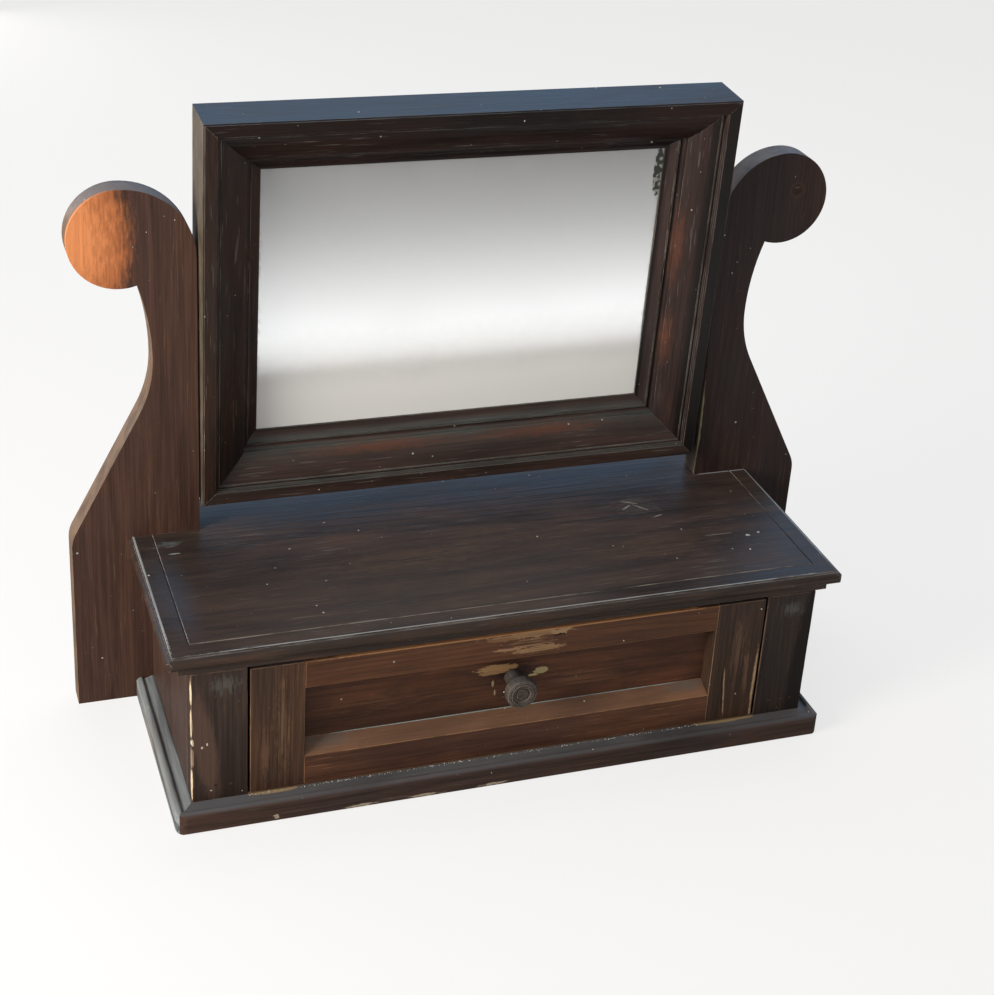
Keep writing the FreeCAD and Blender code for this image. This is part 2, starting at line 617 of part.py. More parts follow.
def knob():
    """The turned knob: neck, swelling, rim and a dished face with a ring."""
    turned = body("Knob")
    bind(turned, base_y=FRONT + " + bevelDeep", base_z="knobZ")
    tip = "-knobLength"
    half = [("0", tip + " + 1.7"), ("4.2", tip + " + 1.3"), ("4.9", tip + " + 2"), ("5.8", tip + " + 0.9"),
            ("8.4", tip + " + 0.2"), ("9.2", tip + " + 0.9"), ("9.8", tip + " + 0.6"),
            ("knobRadius - 1.1", tip + " + 1.3"), ("knobRadius - 0.3", tip + " + 2.6"),
            ("knobRadius", tip + " + 4"), ("knobRadius", tip + " + 6.6"),
            ("knobRadius - 1.4", tip + " + 9.4"), ("knobNeck + 1.9", tip + " + 14"),
            ("knobNeck + 0.4", tip + " + 17"), ("knobNeck", tip + " + 20"), ("knobNeck", "0"),
            ("knobTenon", "0"), ("knobTenon", "fieldThick + knobTail"), ("0", "fieldThick + knobTail")]
    sketch = outline(turned, "XY_Plane", half)
    spin = feature(turned, "Revolution", sketch, Angle=360.0)
    spin.ReferenceAxis = (plane(turned, "Y_Axis"), [""])
    node(turned, "drawer_knob")


def drawer_box():
    back_y = FRONT + " + drawerDepth"
    side = body("DrawerSide")
    bind(side, base_y=FRONT + " + frontThick")
    inner = "(drawerBody - drawerWall)"
    groove_top = "drawerFloor + drawerFloorThick"
    face = [(inner, LOW), ("drawerBody", LOW), ("drawerBody", "drawerWallTop"), (inner, "drawerWallTop"),
            (inner, groove_top), (inner + " + drawerGroove", groove_top),
            (inner + " + drawerGroove", "drawerFloor"), (inner, "drawerFloor")]
    pad(side, outline(side, "XZ_Plane", face), "drawerDepth - frontThick", Reversed=True)
    node(side, "drawer_side_right")
    left_of(side, "drawer_side_left")
    board("drawer_back", "-" + inner, back_y + " - drawerWall", "drawerFloor + drawerFloorThick",
          "2 * " + inner, "drawerWall", "drawerWallTop - drawerFloor - drawerFloorThick")
    board("drawer_bottom", f"-({inner} + drawerGroove - 0.3)", FRONT + " + frontThick", "drawerFloor",
          f"2 * ({inner} + drawerGroove - 0.3)", "drawerDepth - frontThick", "drawerFloorThick")


def drawer():
    drawer_stiles()
    drawer_rail("drawer_rail_bottom", "railLow", LOW, "+", "sillWide")
    drawer_rail("drawer_rail_top", "railHigh", "drawerTop", "-", "bevelWide")
    drawer_panel()
    knob()
    drawer_box()


# ---------------------------------------------------------------- mirror

# The frame's section: distance in from its outer edge and depth behind its front face.
MOULDING = [("0", "1", "-1"), ("1", "0"), ("frameFlat", "0", "-1.2"), ("frameFlat + 1.2", "1.2"),
            ("frameFlat + 1.2", "4.4"), ("frameFlat + 3.2", "4.4"), ("frameFlat + 3.6", "5.4", "40"),
            ("frameBand - 12", "15.6"), ("frameBand - 12", "17.6", "-2.4"), ("frameBand - 8.3", "20.4"),
            ("frameBand - 8.3", "22.4"), ("frameBand - 7.7", "22.4", "-9"), ("frameBand", "27.4"),
            ("frameBand", "rebateDepth"), ("frameBand - rebateWide", "rebateDepth"),
            ("frameBand - rebateWide", "frameDeep"), ("0", "frameDeep")]


def hang(thing, x="0", y="0", z="0"):
    """Put a piece of the mirror at its place on the leaning frame, whose middle is the pivot."""
    lean = math.radians(value("tilt"))
    thing.Placement = FreeCAD.Placement(V(), FreeCAD.Rotation(V(1, 0, 0), math.degrees(lean)))
    thing.setExpression("Placement.Rotation.Angle", formula("tilt * 1 deg"))
    bind(thing, base_x=x,
         base_y=f"standFront + standThick / 2 + ({y}) * cos(tilt * 1 deg) - ({z}) * sin(tilt * 1 deg)",
         base_z=f"pivotZ + ({y}) * sin(tilt * 1 deg) + ({z}) * cos(tilt * 1 deg)")
    return thing


def frame_member(label, side, upright_member):
    """A mitred length of the moulding; side is + for right or top, - for left or bottom."""
    member = body(label.title().replace("_", ""))
    half = "frameWide / 2" if upright_member else "frameHigh / 2"
    across = [f"{side}({half} - ({p[0]}))" for p in MOULDING]
    depth = [f"({p[1]}) - frameSetback" for p in MOULDING]
    flip = "-" if (side == "+") == upright_member else ""
    rounds = [tuple(f"{flip}({r})" for r in p[2:]) for p in MOULDING]
    corner_x, corner_z = "(frameWide / 2 + 1)", "(frameHigh / 2 + 1)"
    inner_x = "(frameWide / 2 - frameBand - 1)"
    inner_z = "(frameHigh / 2 - frameBand - 1)"
    if upright_member:
        section = [(a, d) + r for a, d, r in zip(across, depth, rounds)]
        pad(member, outline(member, "XY_Plane", section), "frameHigh", Midplane=True)
        for end in ("", "-"):
            cut_through(member, "XZ_Plane", [(side + corner_x, end + corner_z), (side + inner_x, end + inner_z),
                                             (side + inner_x, end + corner_z)])
        drill(member, "YZ_Plane", side + "frameWide / 2", ("0", "0"), "pinRadius", "pinBed",
              towards_plus=side == "-")
    else:
        section = [(d, a) + r for a, d, r in zip(across, depth, rounds)]
        pad(member, outline(member, "YZ_Plane", section), "frameWide", Midplane=True)
        for end in ("", "-"):
            cut_through(member, "XZ_Plane", [(end + corner_x, side + corner_z), (end + inner_x, side + inner_z),
                                             (end + corner_x, side + inner_z)])
    node(hang(member), label)


def sheet_in_rebate(label, front, thick):
    """The glass or the board behind it, filling the rebate with a little play."""
    made = doc.addObject("Part::Box", label)
    wide = "(frameWide - 2 * frameBand + 2 * rebateWide - 0.6)"
    high = "(frameHigh - 2 * frameBand + 2 * rebateWide - 0.6)"
    hang(made, f"-{wide} / 2", f"({front}) - frameSetback", f"-{high} / 2")
    bind(made, Length=wide, Width=thick, Height=high)
    return node(made, label)


def backing_nails():
    """Cut brads driven into the rebate's walls behind the backing board."""
    brads = []
    depth = "rebateDepth + glassThick + backingThick + 0.3 - frameSetback"
    edge_x = "(frameWide / 2 - frameBand + rebateWide)"
    edge_z = "(frameHigh / 2 - frameBand + rebateWide)"
    across, along = "bradThick", "bradLong"
    places = [(x, f"{side}{edge_z}", across, along) for x in ("-110", "0", "110") for side in ("", "-")]
    places += [(f"{side}{edge_x}", z, along, across) for z in ("-60", "60") for side in ("", "-")]
    for x, z, wide, high in places:
        brad = hang(doc.addObject("Part::Box", "Brad"), f"({x}) - {wide} / 2", depth, f"({z}) - {high} / 2")
        bind(brad, Length=wide, Width="bradThick", Height=high)
        brads.append(brad)
    group(brads, "backing_nails")


def pivot_pins():
    """Plain rods fixed in the frame and turning in the uprights."""
    pins = (("pivot_pin_right", "standInner", 90), ("pivot_pin_left", "leftInner", -90))
    for label, inner_edge, quarter in pins:
        way = "-" if quarter < 0 else ""
        pin = doc.addObject("Part::Cylinder", label)
        bind(pin, Radius="pinRadius", Height=f"pinBed + {inner_edge} - frameWide / 2 + pinReach",
             base_x=f"{way}(frameWide / 2 - pinBed)", base_y="standFront + standThick / 2", base_z="pivotZ")
        pin.Placement.Rotation = FreeCAD.Rotation(V(0, 1, 0), quarter)
        node(pin, label)


def mirror():
    frame_member("frame_top", "+", False)
    frame_member("frame_bottom", "-", False)
    frame_member("frame_right", "+", True)
    frame_member("frame_left", "-", True)
    sheet_in_rebate("mirror_glass", "rebateDepth", "glassThick")
    sheet_in_rebate("mirror_backing", "rebateDepth + glassThick + 0.2", "backingThick")
    backing_nails()
    pivot_pins()


def check():
    """Stop on anything that failed to build."""
    doc.recompute()
    for thing in doc.Objects:
        bad = {"Invalid", "Error"} & set(thing.State)
        if bad:
            raise RuntimeError(f"{thing.Name} ({thing.Label}) is {bad}")
    for label, thing in NODES.items():
        if thing.Shape.isNull() or not thing.Shape.isValid() or thing.Shape.Volume <= 0:
            raise RuntimeError(f"{label} has no valid shape")


uprights()
top_board()
side_panels()
bottom_board()
plinth()
box_fittings()
drawer()
mirror()
check()

os.makedirs("parts", exist_ok=True)
for label, thing in NODES.items():
    thing.Shape.exportStep(f"parts/{label}.step")
    box = thing.Shape.BoundBox
    spans = [(box.XMin, box.XMax), (box.YMin, box.YMax), (box.ZMin, box.ZMax)]
    print(f"{label}: {len(thing.Shape.Solids)} solid(s), {thing.Shape.Volume / 1000:.1f} cm3,",
          ", ".join(f"{low:.1f} to {high:.1f}" for low, high in spans))
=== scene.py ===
import math

import bmesh
import bpy
from mathutils import Matrix, Vector, noise


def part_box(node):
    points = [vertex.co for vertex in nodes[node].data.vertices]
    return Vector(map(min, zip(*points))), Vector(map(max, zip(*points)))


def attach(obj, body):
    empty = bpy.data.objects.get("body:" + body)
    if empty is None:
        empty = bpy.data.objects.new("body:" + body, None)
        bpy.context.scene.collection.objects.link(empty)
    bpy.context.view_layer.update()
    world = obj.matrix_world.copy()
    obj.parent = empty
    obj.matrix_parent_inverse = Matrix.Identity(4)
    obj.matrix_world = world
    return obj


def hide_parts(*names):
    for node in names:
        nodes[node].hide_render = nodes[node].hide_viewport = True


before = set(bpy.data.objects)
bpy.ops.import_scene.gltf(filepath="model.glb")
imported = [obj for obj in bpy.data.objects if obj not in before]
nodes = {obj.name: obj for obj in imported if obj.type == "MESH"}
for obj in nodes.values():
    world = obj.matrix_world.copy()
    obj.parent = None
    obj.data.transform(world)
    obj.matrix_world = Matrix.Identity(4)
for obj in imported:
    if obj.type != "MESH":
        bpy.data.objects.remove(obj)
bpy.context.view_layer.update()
print("frame loaded:", len(nodes), "nodes")

# planes that the marks lie on, read from the solids, in metres
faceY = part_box("pilaster_left")[0].y
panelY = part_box("drawer_panel")[0].y
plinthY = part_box("plinth_front")[0].y
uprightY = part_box("upright_left")[0].y
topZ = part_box("top_board")[1].z


def put(tree, kind, wires=(), **settings):
    # one shader node: its settings, then its inputs as values or as other nodes' outputs
    node = tree.nodes.new("ShaderNode" + kind)
    for name, setting in settings.items():
        setattr(node, name, setting)
    for socket, value in dict(wires).items():
        if isinstance(value, bpy.types.NodeSocket):
            tree.links.new(value, node.inputs[socket])
        else:
            node.inputs[socket].default_value = value
    return node


def calc(tree, work, a, b=0.0, c=0.0):
    return put(tree, "Math", {0: a, 1: b, 2: c}, operation=work).outputs[0]


def ramp(tree, value, low, high, start=0.0, end=1.0):
    wires = {"Value": value, "From Min": low, "From Max": high, "To Min": start, "To Max": end}
    return put(tree, "MapRange", wires, interpolation_type="SMOOTHSTEP").outputs[0]


def tint(tree, amount, under, over):
    return put(tree, "Mix", {0: amount, 6: under, 7: over}, data_type="RGBA").outputs[2]


def grainNoise(tree, along, stretch, detail=3.0, roughness=0.55, warp=0.0):
    scaled = put(tree, "VectorMath", {0: along, 1: stretch}, operation="MULTIPLY").outputs[0]
    wires = {"Vector": scaled, "Scale": 1.0, "Detail": detail, "Roughness": roughness, "Distortion": warp}
    return put(tree, "TexNoise", wires).outputs["Fac"]


def blankMaterial(name):
    material = bpy.data.materials.new(name)
    material.use_nodes = True
    material.node_tree.nodes.clear()
    return material, material.node_tree


def rgb(text):
    # a hex colour as linear light
    parts = [int(text[i:i + 2], 16) / 255 for i in (0, 2, 4)]
    return (*[p / 12.92 if p < 0.04 else ((p + 0.055) / 1.055) ** 2.4 for p in parts], 1.0)


def mark(tree, place, ragged, spot):
    # how much of a local mark is at a point: an ellipsoid, or a box when square, with ragged edges
    wires = {"Vector": place, "Location": spot["at"], "Scale": spot["size"],
             "Rotation": spot.get("turn", (0, 0, 0))}
    local = put(tree, "Mapping", wires, vector_type="TEXTURE").outputs[0]
    if spot.get("square"):
        apart = put(tree, "VectorMath", {0: local}, operation="ABSOLUTE").outputs[0]
        side = put(tree, "SeparateXYZ", {0: apart})
        reach = calc(tree, "MAXIMUM", side.outputs["Y"], side.outputs["Z"])
        reach = calc(tree, "MAXIMUM", side.outputs["X"], reach)
    else:
        reach = put(tree, "VectorMath", {0: local}, operation="LENGTH").outputs["Value"]
    uneven = calc(tree, "MULTIPLY_ADD", ragged, spot.get("ragged", 1.6), reach)
    return ramp(tree, uneven, 1 - spot.get("soft", 0.2), 1, spot.get("strength", 1.0), 0.0)


def onPlane(y):
    # a maker of marks on a wall that faces the front: place, half sizes, colour
    def make(x, z, wide, tall, colour, **more):
        return {"at": (x, y, z), "size": (wide, 0.004, tall), "colour": colour, **more}
    return make


onFace, onPanel, onUpright = onPlane(faceY), onPlane(panelY), onPlane(uprightY)


def onTop(x, y, wide, deep, colour, turn=0.0, **more):
    place = {"at": (x, y, topZ), "size": (wide, deep, 0.004), "turn": (0, 0, turn)}
    return {**place, "colour": colour, **more}


# the wood's colours, then how much of each effect shows; heart is where the log's middle lies, in metres
pineLook = {
    "dark": "241915", "light": "3d2a23", "red": "4a2f24", "worn": "7d6350", "creaseShade": "0d0a09",
    "ringWidth": 0.0042, "ringShow": 0.19, "heart": (0.02, -0.05),
    "fibreShow": 0.20, "streaks": 0.20, "dashes": 0.12, "wear": 0.65,
    "rim": 0.0, "rimColour": "86705a", "flat": 0.0, "flatColour": "181c1f",
    "bloom": 0.30, "bloomColour": "454c56", "gloss": 0.40, "bump": 0.30, "shine": 0.22,
}
grainTurn = {"x": (0, 0, 0), "y": (0, 0, -math.pi / 2), "z": (0, math.pi / 2, 0)}


def agedPine(name, grain, seed, spots=(), **changes):
    # stained softwood: growth rings, fibres, blotches, rubbed arrises, a bloom of dust and painted cool sheen
    # on what faces up
    look = {**pineLook, **changes}
    material, tree = blankMaterial(name)
    place = put(tree, "TexCoord").outputs["Object"]
    turn = grainTurn[grain]
    shift = (seed * 1.31, seed * 0.173, seed * 0.119)
    along = put(tree, "Mapping", {"Vector": place, "Rotation": turn, "Location": shift}).outputs[0]
    wander = grainNoise(tree, along, (2.2, 16, 16), 2.0)
    turned = put(tree, "Mapping", {"Vector": place, "Rotation": turn}).outputs[0]
    across = put(tree, "SeparateXYZ", {0: turned})
    left = calc(tree, "ADD", across.outputs["Y"], look["heart"][0])
    deep = calc(tree, "ADD", across.outputs["Z"], look["heart"][1])
    squares = calc(tree, "ADD", calc(tree, "POWER", left, 2.0), calc(tree, "POWER", deep, 2.0))
    fromHeart = calc(tree, "SQRT", squares)
    taper = calc(tree, "MULTIPLY_ADD", across.outputs["X"], 0.012, fromHeart)
    age = calc(tree, "MULTIPLY_ADD", wander, 0.034, taper)
    wave = calc(tree, "SINE", calc(tree, "MULTIPLY", age, math.tau / look["ringWidth"]))
    late = ramp(tree, wave, -0.2, 1.0)
    fibre = grainNoise(tree, along, (14, 620, 620), 4.0, 0.62)
    coarse = grainNoise(tree, along, (6, 75, 75), 4.0, 0.6, 0.5)
    blotch = grainNoise(tree, along, (6, 15, 15), 5.0, 0.62, 0.8)
    dents = grainNoise(tree, along, (40, 85, 85), 4.0, 0.62)
    ragged = calc(tree, "SUBTRACT", grainNoise(tree, along, (120, 480, 480), 4.0, 0.7), 0.5)

    colour = tint(tree, ramp(tree, blotch, 0.38, 0.64), rgb(look["light"]), rgb(look["red"]))
    colour = tint(tree, ramp(tree, coarse, 0.42, 0.66, 0, look["streaks"] * 2), colour, rgb(look["dark"]))
    colour = tint(tree, calc(tree, "MULTIPLY", late, look["ringShow"]), colour, rgb(look["dark"]))
    streak = ramp(tree, fibre, 0.3, 0.7, 1 - look["fibreShow"], 1 + look["fibreShow"])
    colour = put(tree, "VectorMath", {0: colour, 3: streak}, operation="SCALE").outputs[0]
    scuffs = grainNoise(tree, along, (30, 520, 520), 2.0, 0.5)
    scuffed = calc(tree, "MULTIPLY", ramp(tree, scuffs, 0.63, 0.72), ramp(tree, blotch, 0.4, 0.6, 0.2, 1.0))
    colour = tint(tree, calc(tree, "MULTIPLY", scuffed, look["dashes"]), colour, rgb(look["worn"]))
    roughness = ramp(tree, blotch, 0.3, 0.75, look["gloss"] - 0.08, look["gloss"] + 0.14)

    normal = put(tree, "SeparateXYZ", {0: put(tree, "NewGeometry").outputs["Normal"]})
    # side faces paler: partly bare sawn wood, partly painted light where the sides face the lamp
    if look["rim"]:
        sawnAndLitSide = ramp(tree, calc(tree, "ABSOLUTE", normal.outputs["Y"]), 0.25, 0.6, look["rim"], 0.0)
        sawnAndLitSide = calc(tree, "MULTIPLY", sawnAndLitSide, ramp(tree, dents, 0.35, 0.6, 0.45, 1.0))
        colour = tint(tree, sawnAndLitSide, colour, rgb(look["rimColour"]))
    # front and back faces darkened towards a near black: painted shade
    if look["flat"]:
        level = ramp(tree, calc(tree, "ABSOLUTE", normal.outputs["Y"]), 0.90, 0.98, 0.0, look["flat"])
        colour = tint(tree, level, colour, rgb(look["flatColour"]))
    edge = put(tree, "Attribute", attribute_name="edge", attribute_type="GEOMETRY").outputs["Fac"]
    rubbed = calc(tree, "MULTIPLY", calc(tree, "MAXIMUM", edge, 0.0), ramp(tree, dents, 0.36, 0.58, 0.3, 1.0))
    rubbed = calc(tree, "MULTIPLY", rubbed, look["wear"])
    colour = tint(tree, rubbed, colour, rgb(look["worn"]))
    # inner corners and grooves darkened: painted shade in the creases
    inCorner = calc(tree, "MAXIMUM", calc(tree, "MULTIPLY", edge, -1.0), 0.0)
    colour = tint(tree, calc(tree, "MULTIPLY", inCorner, 0.85), colour, rgb(look["creaseShade"]))
    # what faces up is mixed towards the bloom colour: settled dust together with a painted sheen of sky light
    upward = ramp(tree, normal.outputs["Z"], 0.3, 0.95)
    dustAndPaintedSheen = calc(tree, "MULTIPLY", upward, ramp(tree, blotch, 0.3, 0.7, 0.5, 1.0))
    colour = tint(tree, calc(tree, "MULTIPLY", dustAndPaintedSheen, look["bloom"]), colour, rgb(look["bloomColour"]))

    height = calc(tree, "MULTIPLY_ADD", late, 0.25, calc(tree, "MULTIPLY", fibre, 0.9))
    height = calc(tree, "MULTIPLY_ADD", dents, 0.7, height)
    height = calc(tree, "MULTIPLY_ADD", scuffed, -0.5, height)
    for spot in spots:
        amount = mark(tree, place, ragged, spot)
        if spot.get("streaky"):
            amount = calc(tree, "MULTIPLY", amount, ramp(tree, fibre, 0.38, 0.52))
        colour = tint(tree, amount, colour, rgb(spot["colour"]))
        roughness = calc(tree, "MULTIPLY_ADD", amount, spot.get("dull", 0.25), roughness)
        height = calc(tree, "MULTIPLY_ADD", amount, spot.get("raise", -0.6), height)
    bump = put(tree, "Bump", {"Height": height, "Strength": look["bump"], "Distance": 0.0007})
    skin = put(tree, "BsdfPrincipled", {"Base Color": colour, "Roughness": roughness,
                                        "Normal": bump.outputs[0], "Specular IOR Level": look["shine"]})
    put(tree, "OutputMaterial", {"Surface": skin.outputs[0]})
    return material


# the aged boards of each body, which the flecks later settle on
finished = {"stand": [], "drawer": [], "mirror": []}

# how the wear runs along an arris: waves and nicks per metre, and the noise above which a nick starts
wearLook = {"sharp": 24, "waves": 38, "nicks": 95, "nickStart": 0.22}


def applied(piece):
    # the piece's mesh with its modifiers applied and taken off
    mesh = bpy.data.meshes.new_from_object(piece.evaluated_get(bpy.context.evaluated_depsgraph_get()))
    piece.modifiers.clear()
    return mesh


def linked(name, data):
    thing = bpy.data.objects.new(name, data)
    bpy.context.scene.collection.objects.link(thing)
    return thing


def mergedCopy(node, material):
    # the frame's board in whole faces; the second slot is for the arrises, until they are marked
    mesh = nodes[node].data.copy()
    work = bmesh.new()
    work.from_mesh(mesh)
    bmesh.ops.remove_doubles(work, verts=work.verts, dist=1e-6)
    bmesh.ops.dissolve_limit(work, angle_limit=0.004, verts=work.verts, edges=work.edges)
    work.to_mesh(mesh)
    work.free()
    mesh.materials.clear()
    mesh.materials.append(material)
    mesh.materials.append(material)
    return linked("aged" + "".join(part.title() for part in node.split("_")), mesh)


def roundArrises(piece, edge, steps):
    bevel = piece.modifiers.new("arris", "BEVEL")
    bevel.width = edge
    bevel.segments = steps
    bevel.limit_method = "ANGLE"
    bevel.angle_limit = math.radians(wearLook["sharp"])
    bevel.material = 1
    bevel.use_clamp_overlap = True
    return applied(piece)


def markArrises(work):
    # an attribute that is 1 on rubbed arrises and -1 in inner corners
    layer = work.verts.layers.float.new("edge")
    work.normal_update()
    for vert in work.verts:
        if all(face.material_index == 1 for face in vert.link_faces):
            around = sum((e.other_vert(vert).co - vert.co for e in vert.link_edges), Vector())
            vert[layer] = 1.0 if around.dot(vert.normal) < 0 else -1.0
    return layer


def cutAcross(work, every):
    # cuts along the longest side, so that the wear has points to move
    lowest = Vector([min(v.co[i] for v in work.verts) for i in range(3)])
    highest = Vector([max(v.co[i] for v in work.verts) for i in range(3)])
    axis = max(range(3), key=lambda i: highest[i] - lowest[i])
    normal = Vector([float(i == axis) for i in range(3)])
    count = int((highest[axis] - lowest[axis]) / every)
    for i in range(1, count):
        cut = lowest + normal * (i * (highest[axis] - lowest[axis]) / count)
        parts = work.verts[:] + work.edges[:] + work.faces[:]
        bmesh.ops.bisect_plane(work, geom=parts, plane_co=cut, plane_no=normal, dist=1e-7)


def wearAway(work, layer, wobble, nick, seed):
    # every point goes inwards a little, those on arrises further
    work.normal_update()
    moves = []
    for vert in work.verts:
        sway = noise.noise(vert.co * wearLook["waves"] + Vector((seed * 3.1, 0, 0)))
        chip = noise.noise(vert.co * wearLook["nicks"] + Vector((0, seed * 5.7, 0)))
        outer = max(0.0, vert[layer])
        bite = max(0.0, chip - wearLook["nickStart"]) * nick * outer
        moves.append(vert.normal * (-abs(sway) * wobble * (0.25 + outer) - bite))
    for vert, move in zip(work.verts, moves):
        vert.co += move


def agedCopy(node, material, body, edge=0.0006, steps=3, every=0.011, wobble=0.00012, nick=0.0, seed=1,
             slot="stained_pine"):
    # the board with its arrises rubbed round and slightly uneven, in place of the frame's
    piece = mergedCopy(node, material)
    mesh = roundArrises(piece, edge, steps)
    work = bmesh.new()
    work.from_mesh(mesh)
    layer = markArrises(work)
    cutAcross(work, every)
    wearAway(work, layer, wobble, nick, seed)
    for face in work.faces:
        face.material_index = 0
        face.smooth = True
    work.to_mesh(mesh)
    work.free()
    mesh.materials.clear()
    mesh.materials.append(material)
    piece.data = mesh
    weighted = piece.modifiers.new("normals", "WEIGHTED_NORMAL")
    weighted.weight = 90
    piece.data = applied(piece)
    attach(piece, body)
    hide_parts(node)
    finished[body].append(piece)


# top board: nearly black, scuffed, rubbed brown in the middle; its pale grey rubbed arrises stand partly for
# painted highlights
topBoard = {"dark": "201916", "light": "382c25", "red": "4b3629", "bloom": 0.22, "bloomColour": "434a52",
            "gloss": 0.38, "heart": (0.03, 0.02), "worn": "a39d96", "wear": 0.8, "dashes": 0.2, "streaks": 0.3}
unraised = {"raise": 0.0}
topMarks = [
    onTop(-0.2270, 0.0480, 0.011, 0.0045, "6a7177", ragged=4.0, soft=0.7, strength=0.7, streaky=True),
    onTop(-0.2240, 0.0340, 0.005, 0.0014, "858a8b", ragged=3.2, soft=0.5),
    onTop(0.1400, 0.0230, 0.0090, 0.0007, "8c877f", turn=-0.9, ragged=2.0),
    onTop(0.1330, 0.0330, 0.0070, 0.0008, "8c877f", turn=-0.5, ragged=2.2),
    onTop(0.1290, 0.0260, 0.0060, 0.0009, "8c877f", turn=0.6, ragged=2.0),
    onTop(0.1480, 0.0080, 0.0050, 0.0008, "8c877f", turn=0.3, ragged=2.0),
    onTop(0.1380, 0.0260, 0.0160, 0.0130, "66635f", ragged=3.8, streaky=True, strength=0.25),
    onTop(0.1820, -0.0290, 0.0130, 0.0006, "77736d", ragged=0.8),
    onTop(0.2050, -0.0350, 0.0020, 0.0014, "b5b8b7", ragged=1.4),
    onTop(0.2150, -0.0330, 0.0011, 0.0010, "b5b8b7", ragged=1.4),
]
rubbedBrown = {"ragged": 3.4, "soft": 1.2, "strength": 0.6, "streaky": True, **unraised}
topMarks += [onTop(x, y, wide, deep, "5b4639", **rubbedBrown)
             for x, y, wide, deep in ((-0.060, -0.010, 0.11, 0.022), (0.030, 0.010, 0.09, 0.016),
                                      (-0.110, 0.030, 0.08, 0.014), (0.120, -0.040, 0.08, 0.018))]
# the arrises catch a cold light, painted here as highlights
boardLow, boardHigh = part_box("top_board")
cold = {"colour": "9ba1a5", "ragged": 0.9, "square": True, "strength": 0.85, "soft": 0.3}
topMarks += [{"at": (0, boardLow.y + 0.0048, topZ), "size": (0.2480, 0.0006, 0.002), **cold},
             {"at": (boardLow.x + 0.0046, 0, topZ), "size": (0.0007, boardHigh.y - 0.013, 0.002), **cold},
             {"at": (boardHigh.x - 0.0046, 0, topZ), "size": (0.0005, boardHigh.y - 0.013, 0.002), **cold},
             # a bluish patch over the left end: painted sky reflection
             onTop(-0.2350, -0.0200, 0.022, 0.080, "3a424e", ragged=1.2, soft=1.0, strength=0.7, **unraised),
             {"at": (0.2270, uprightY - 0.0009, topZ), "size": (0.0240, 0.0008, 0.003), **cold}]
topWood = agedPine("topBoardWood", "x", 1, topMarks, **topBoard)
agedCopy("top_board", topWood, "stand", edge=0.0011, nick=0.0014)


# how far the ends go on, their lap into the board, their arris, and the play all round, in metres
endsLook = {"reach": 0.018, "lap": 0.004, "arris": 0.0011, "play": 0.0002}


def boardEnds(look):
    # the top is notched round the uprights, and its back corners run on behind them
    play = look["play"]
    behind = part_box("upright_left")[1].y + play
    work = bmesh.new()
    for inner, side in ((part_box("upright_left")[1].x, -1), (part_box("upright_right")[0].x, 1)):
        low = Vector((inner - side * look["lap"], behind, boardLow.z + play))
        high = Vector((inner + side * look["reach"], boardHigh.y - play, topZ - play))
        middle, size = (low + high) / 2, high - low
        shape = Matrix.Translation(middle) @ Matrix.Diagonal((abs(size.x), size.y, size.z, 1.0))
        bmesh.ops.create_cube(work, size=1.0, matrix=shape)
    bmesh.ops.bevel(work, geom=work.edges[:], offset=look["arris"], segments=3, affect="EDGES", profile=0.5)
    mesh = bpy.data.meshes.new("boardEnds")
    work.to_mesh(mesh)
    work.free()
    mesh.materials.append(topWood)
    piece = linked("boardEnds", mesh)
    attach(piece, "stand")


boardEnds(endsLook)
print("top board done")

# uprights: browner, with paler sawn edges that are partly painted light
upright = {"dark": "2a1d18", "light": "46322b", "red": "4f372d", "bloom": 0.55, "bloomColour": "5c6169",
           "worn": "8f7359", "wear": 0.7, "heart": (0.24, -0.05), "gloss": 0.48, "rim": 0.6,
           "rimColour": "8b755f", "dashes": 0.12}
# an orange pool of sunlight painted onto the left scroll's disc
sunPatchLook = {"dull": 0.1, "raise": 0.0}
paintedSunPatch = [onUpright(-0.2840, 0.3740, 0.0450, 0.075, "b0693e", ragged=0.5, soft=0.35, strength=0.85,
                      **sunPatchLook),
            onUpright(-0.2850, 0.3780, 0.0370, 0.058, "e2925e", ragged=1.4, soft=0.8, strength=0.75,
                      **sunPatchLook)]
knot = [onUpright(0.2629, 0.3832, 0.0072, 0.0080, "4a332a", ragged=0.4, soft=0.5, strength=0.6),
        onUpright(0.2629, 0.3832, 0.0052, 0.0056, "2a1d19", ragged=0.4, soft=0.3, strength=0.8),
        onUpright(0.2629, 0.3850, 0.0034, 0.0011, "55493f", ragged=0.6, strength=0.6)]
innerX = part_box("upright_right")[0].x
# on the right upright's inner face: painted shade in the gap by the frame's corner, and a painted highlight up
# its lit front arris
gapShadeAndLitEdge = [{"at": (innerX, uprightY + 0.0095, 0.160), "size": (0.004, 0.016, 0.040), "colour": "1f1d1b",
             "ragged": 0.8, "soft": 0.6, "strength": 0.85, **unraised},
            {"at": (innerX, uprightY, 0.190), "size": (0.0019, 0.003, 0.034), "colour": "8f886b",
             "ragged": 1.5, "soft": 0.3}]
# the right upright a darker copy: painted shade, as the light falls off to the right
darker = {**upright, "heart": (-0.20, 0.03), "dark": "1b1312", "light": "2d2221", "red": "372722"}
uprightWear = {"edge": 0.0010, "nick": 0.0022}
leftWood = agedPine("leftUprightWood", "z", 2, paintedSunPatch, **upright)
agedCopy("upright_left", leftWood, "stand", **uprightWear)
rightWood = agedPine("rightUprightWood", "z", 3, knot + gapShadeAndLitEdge, **darker)
agedCopy("upright_right", rightWood, "stand", **uprightWear)
print("uprights done")

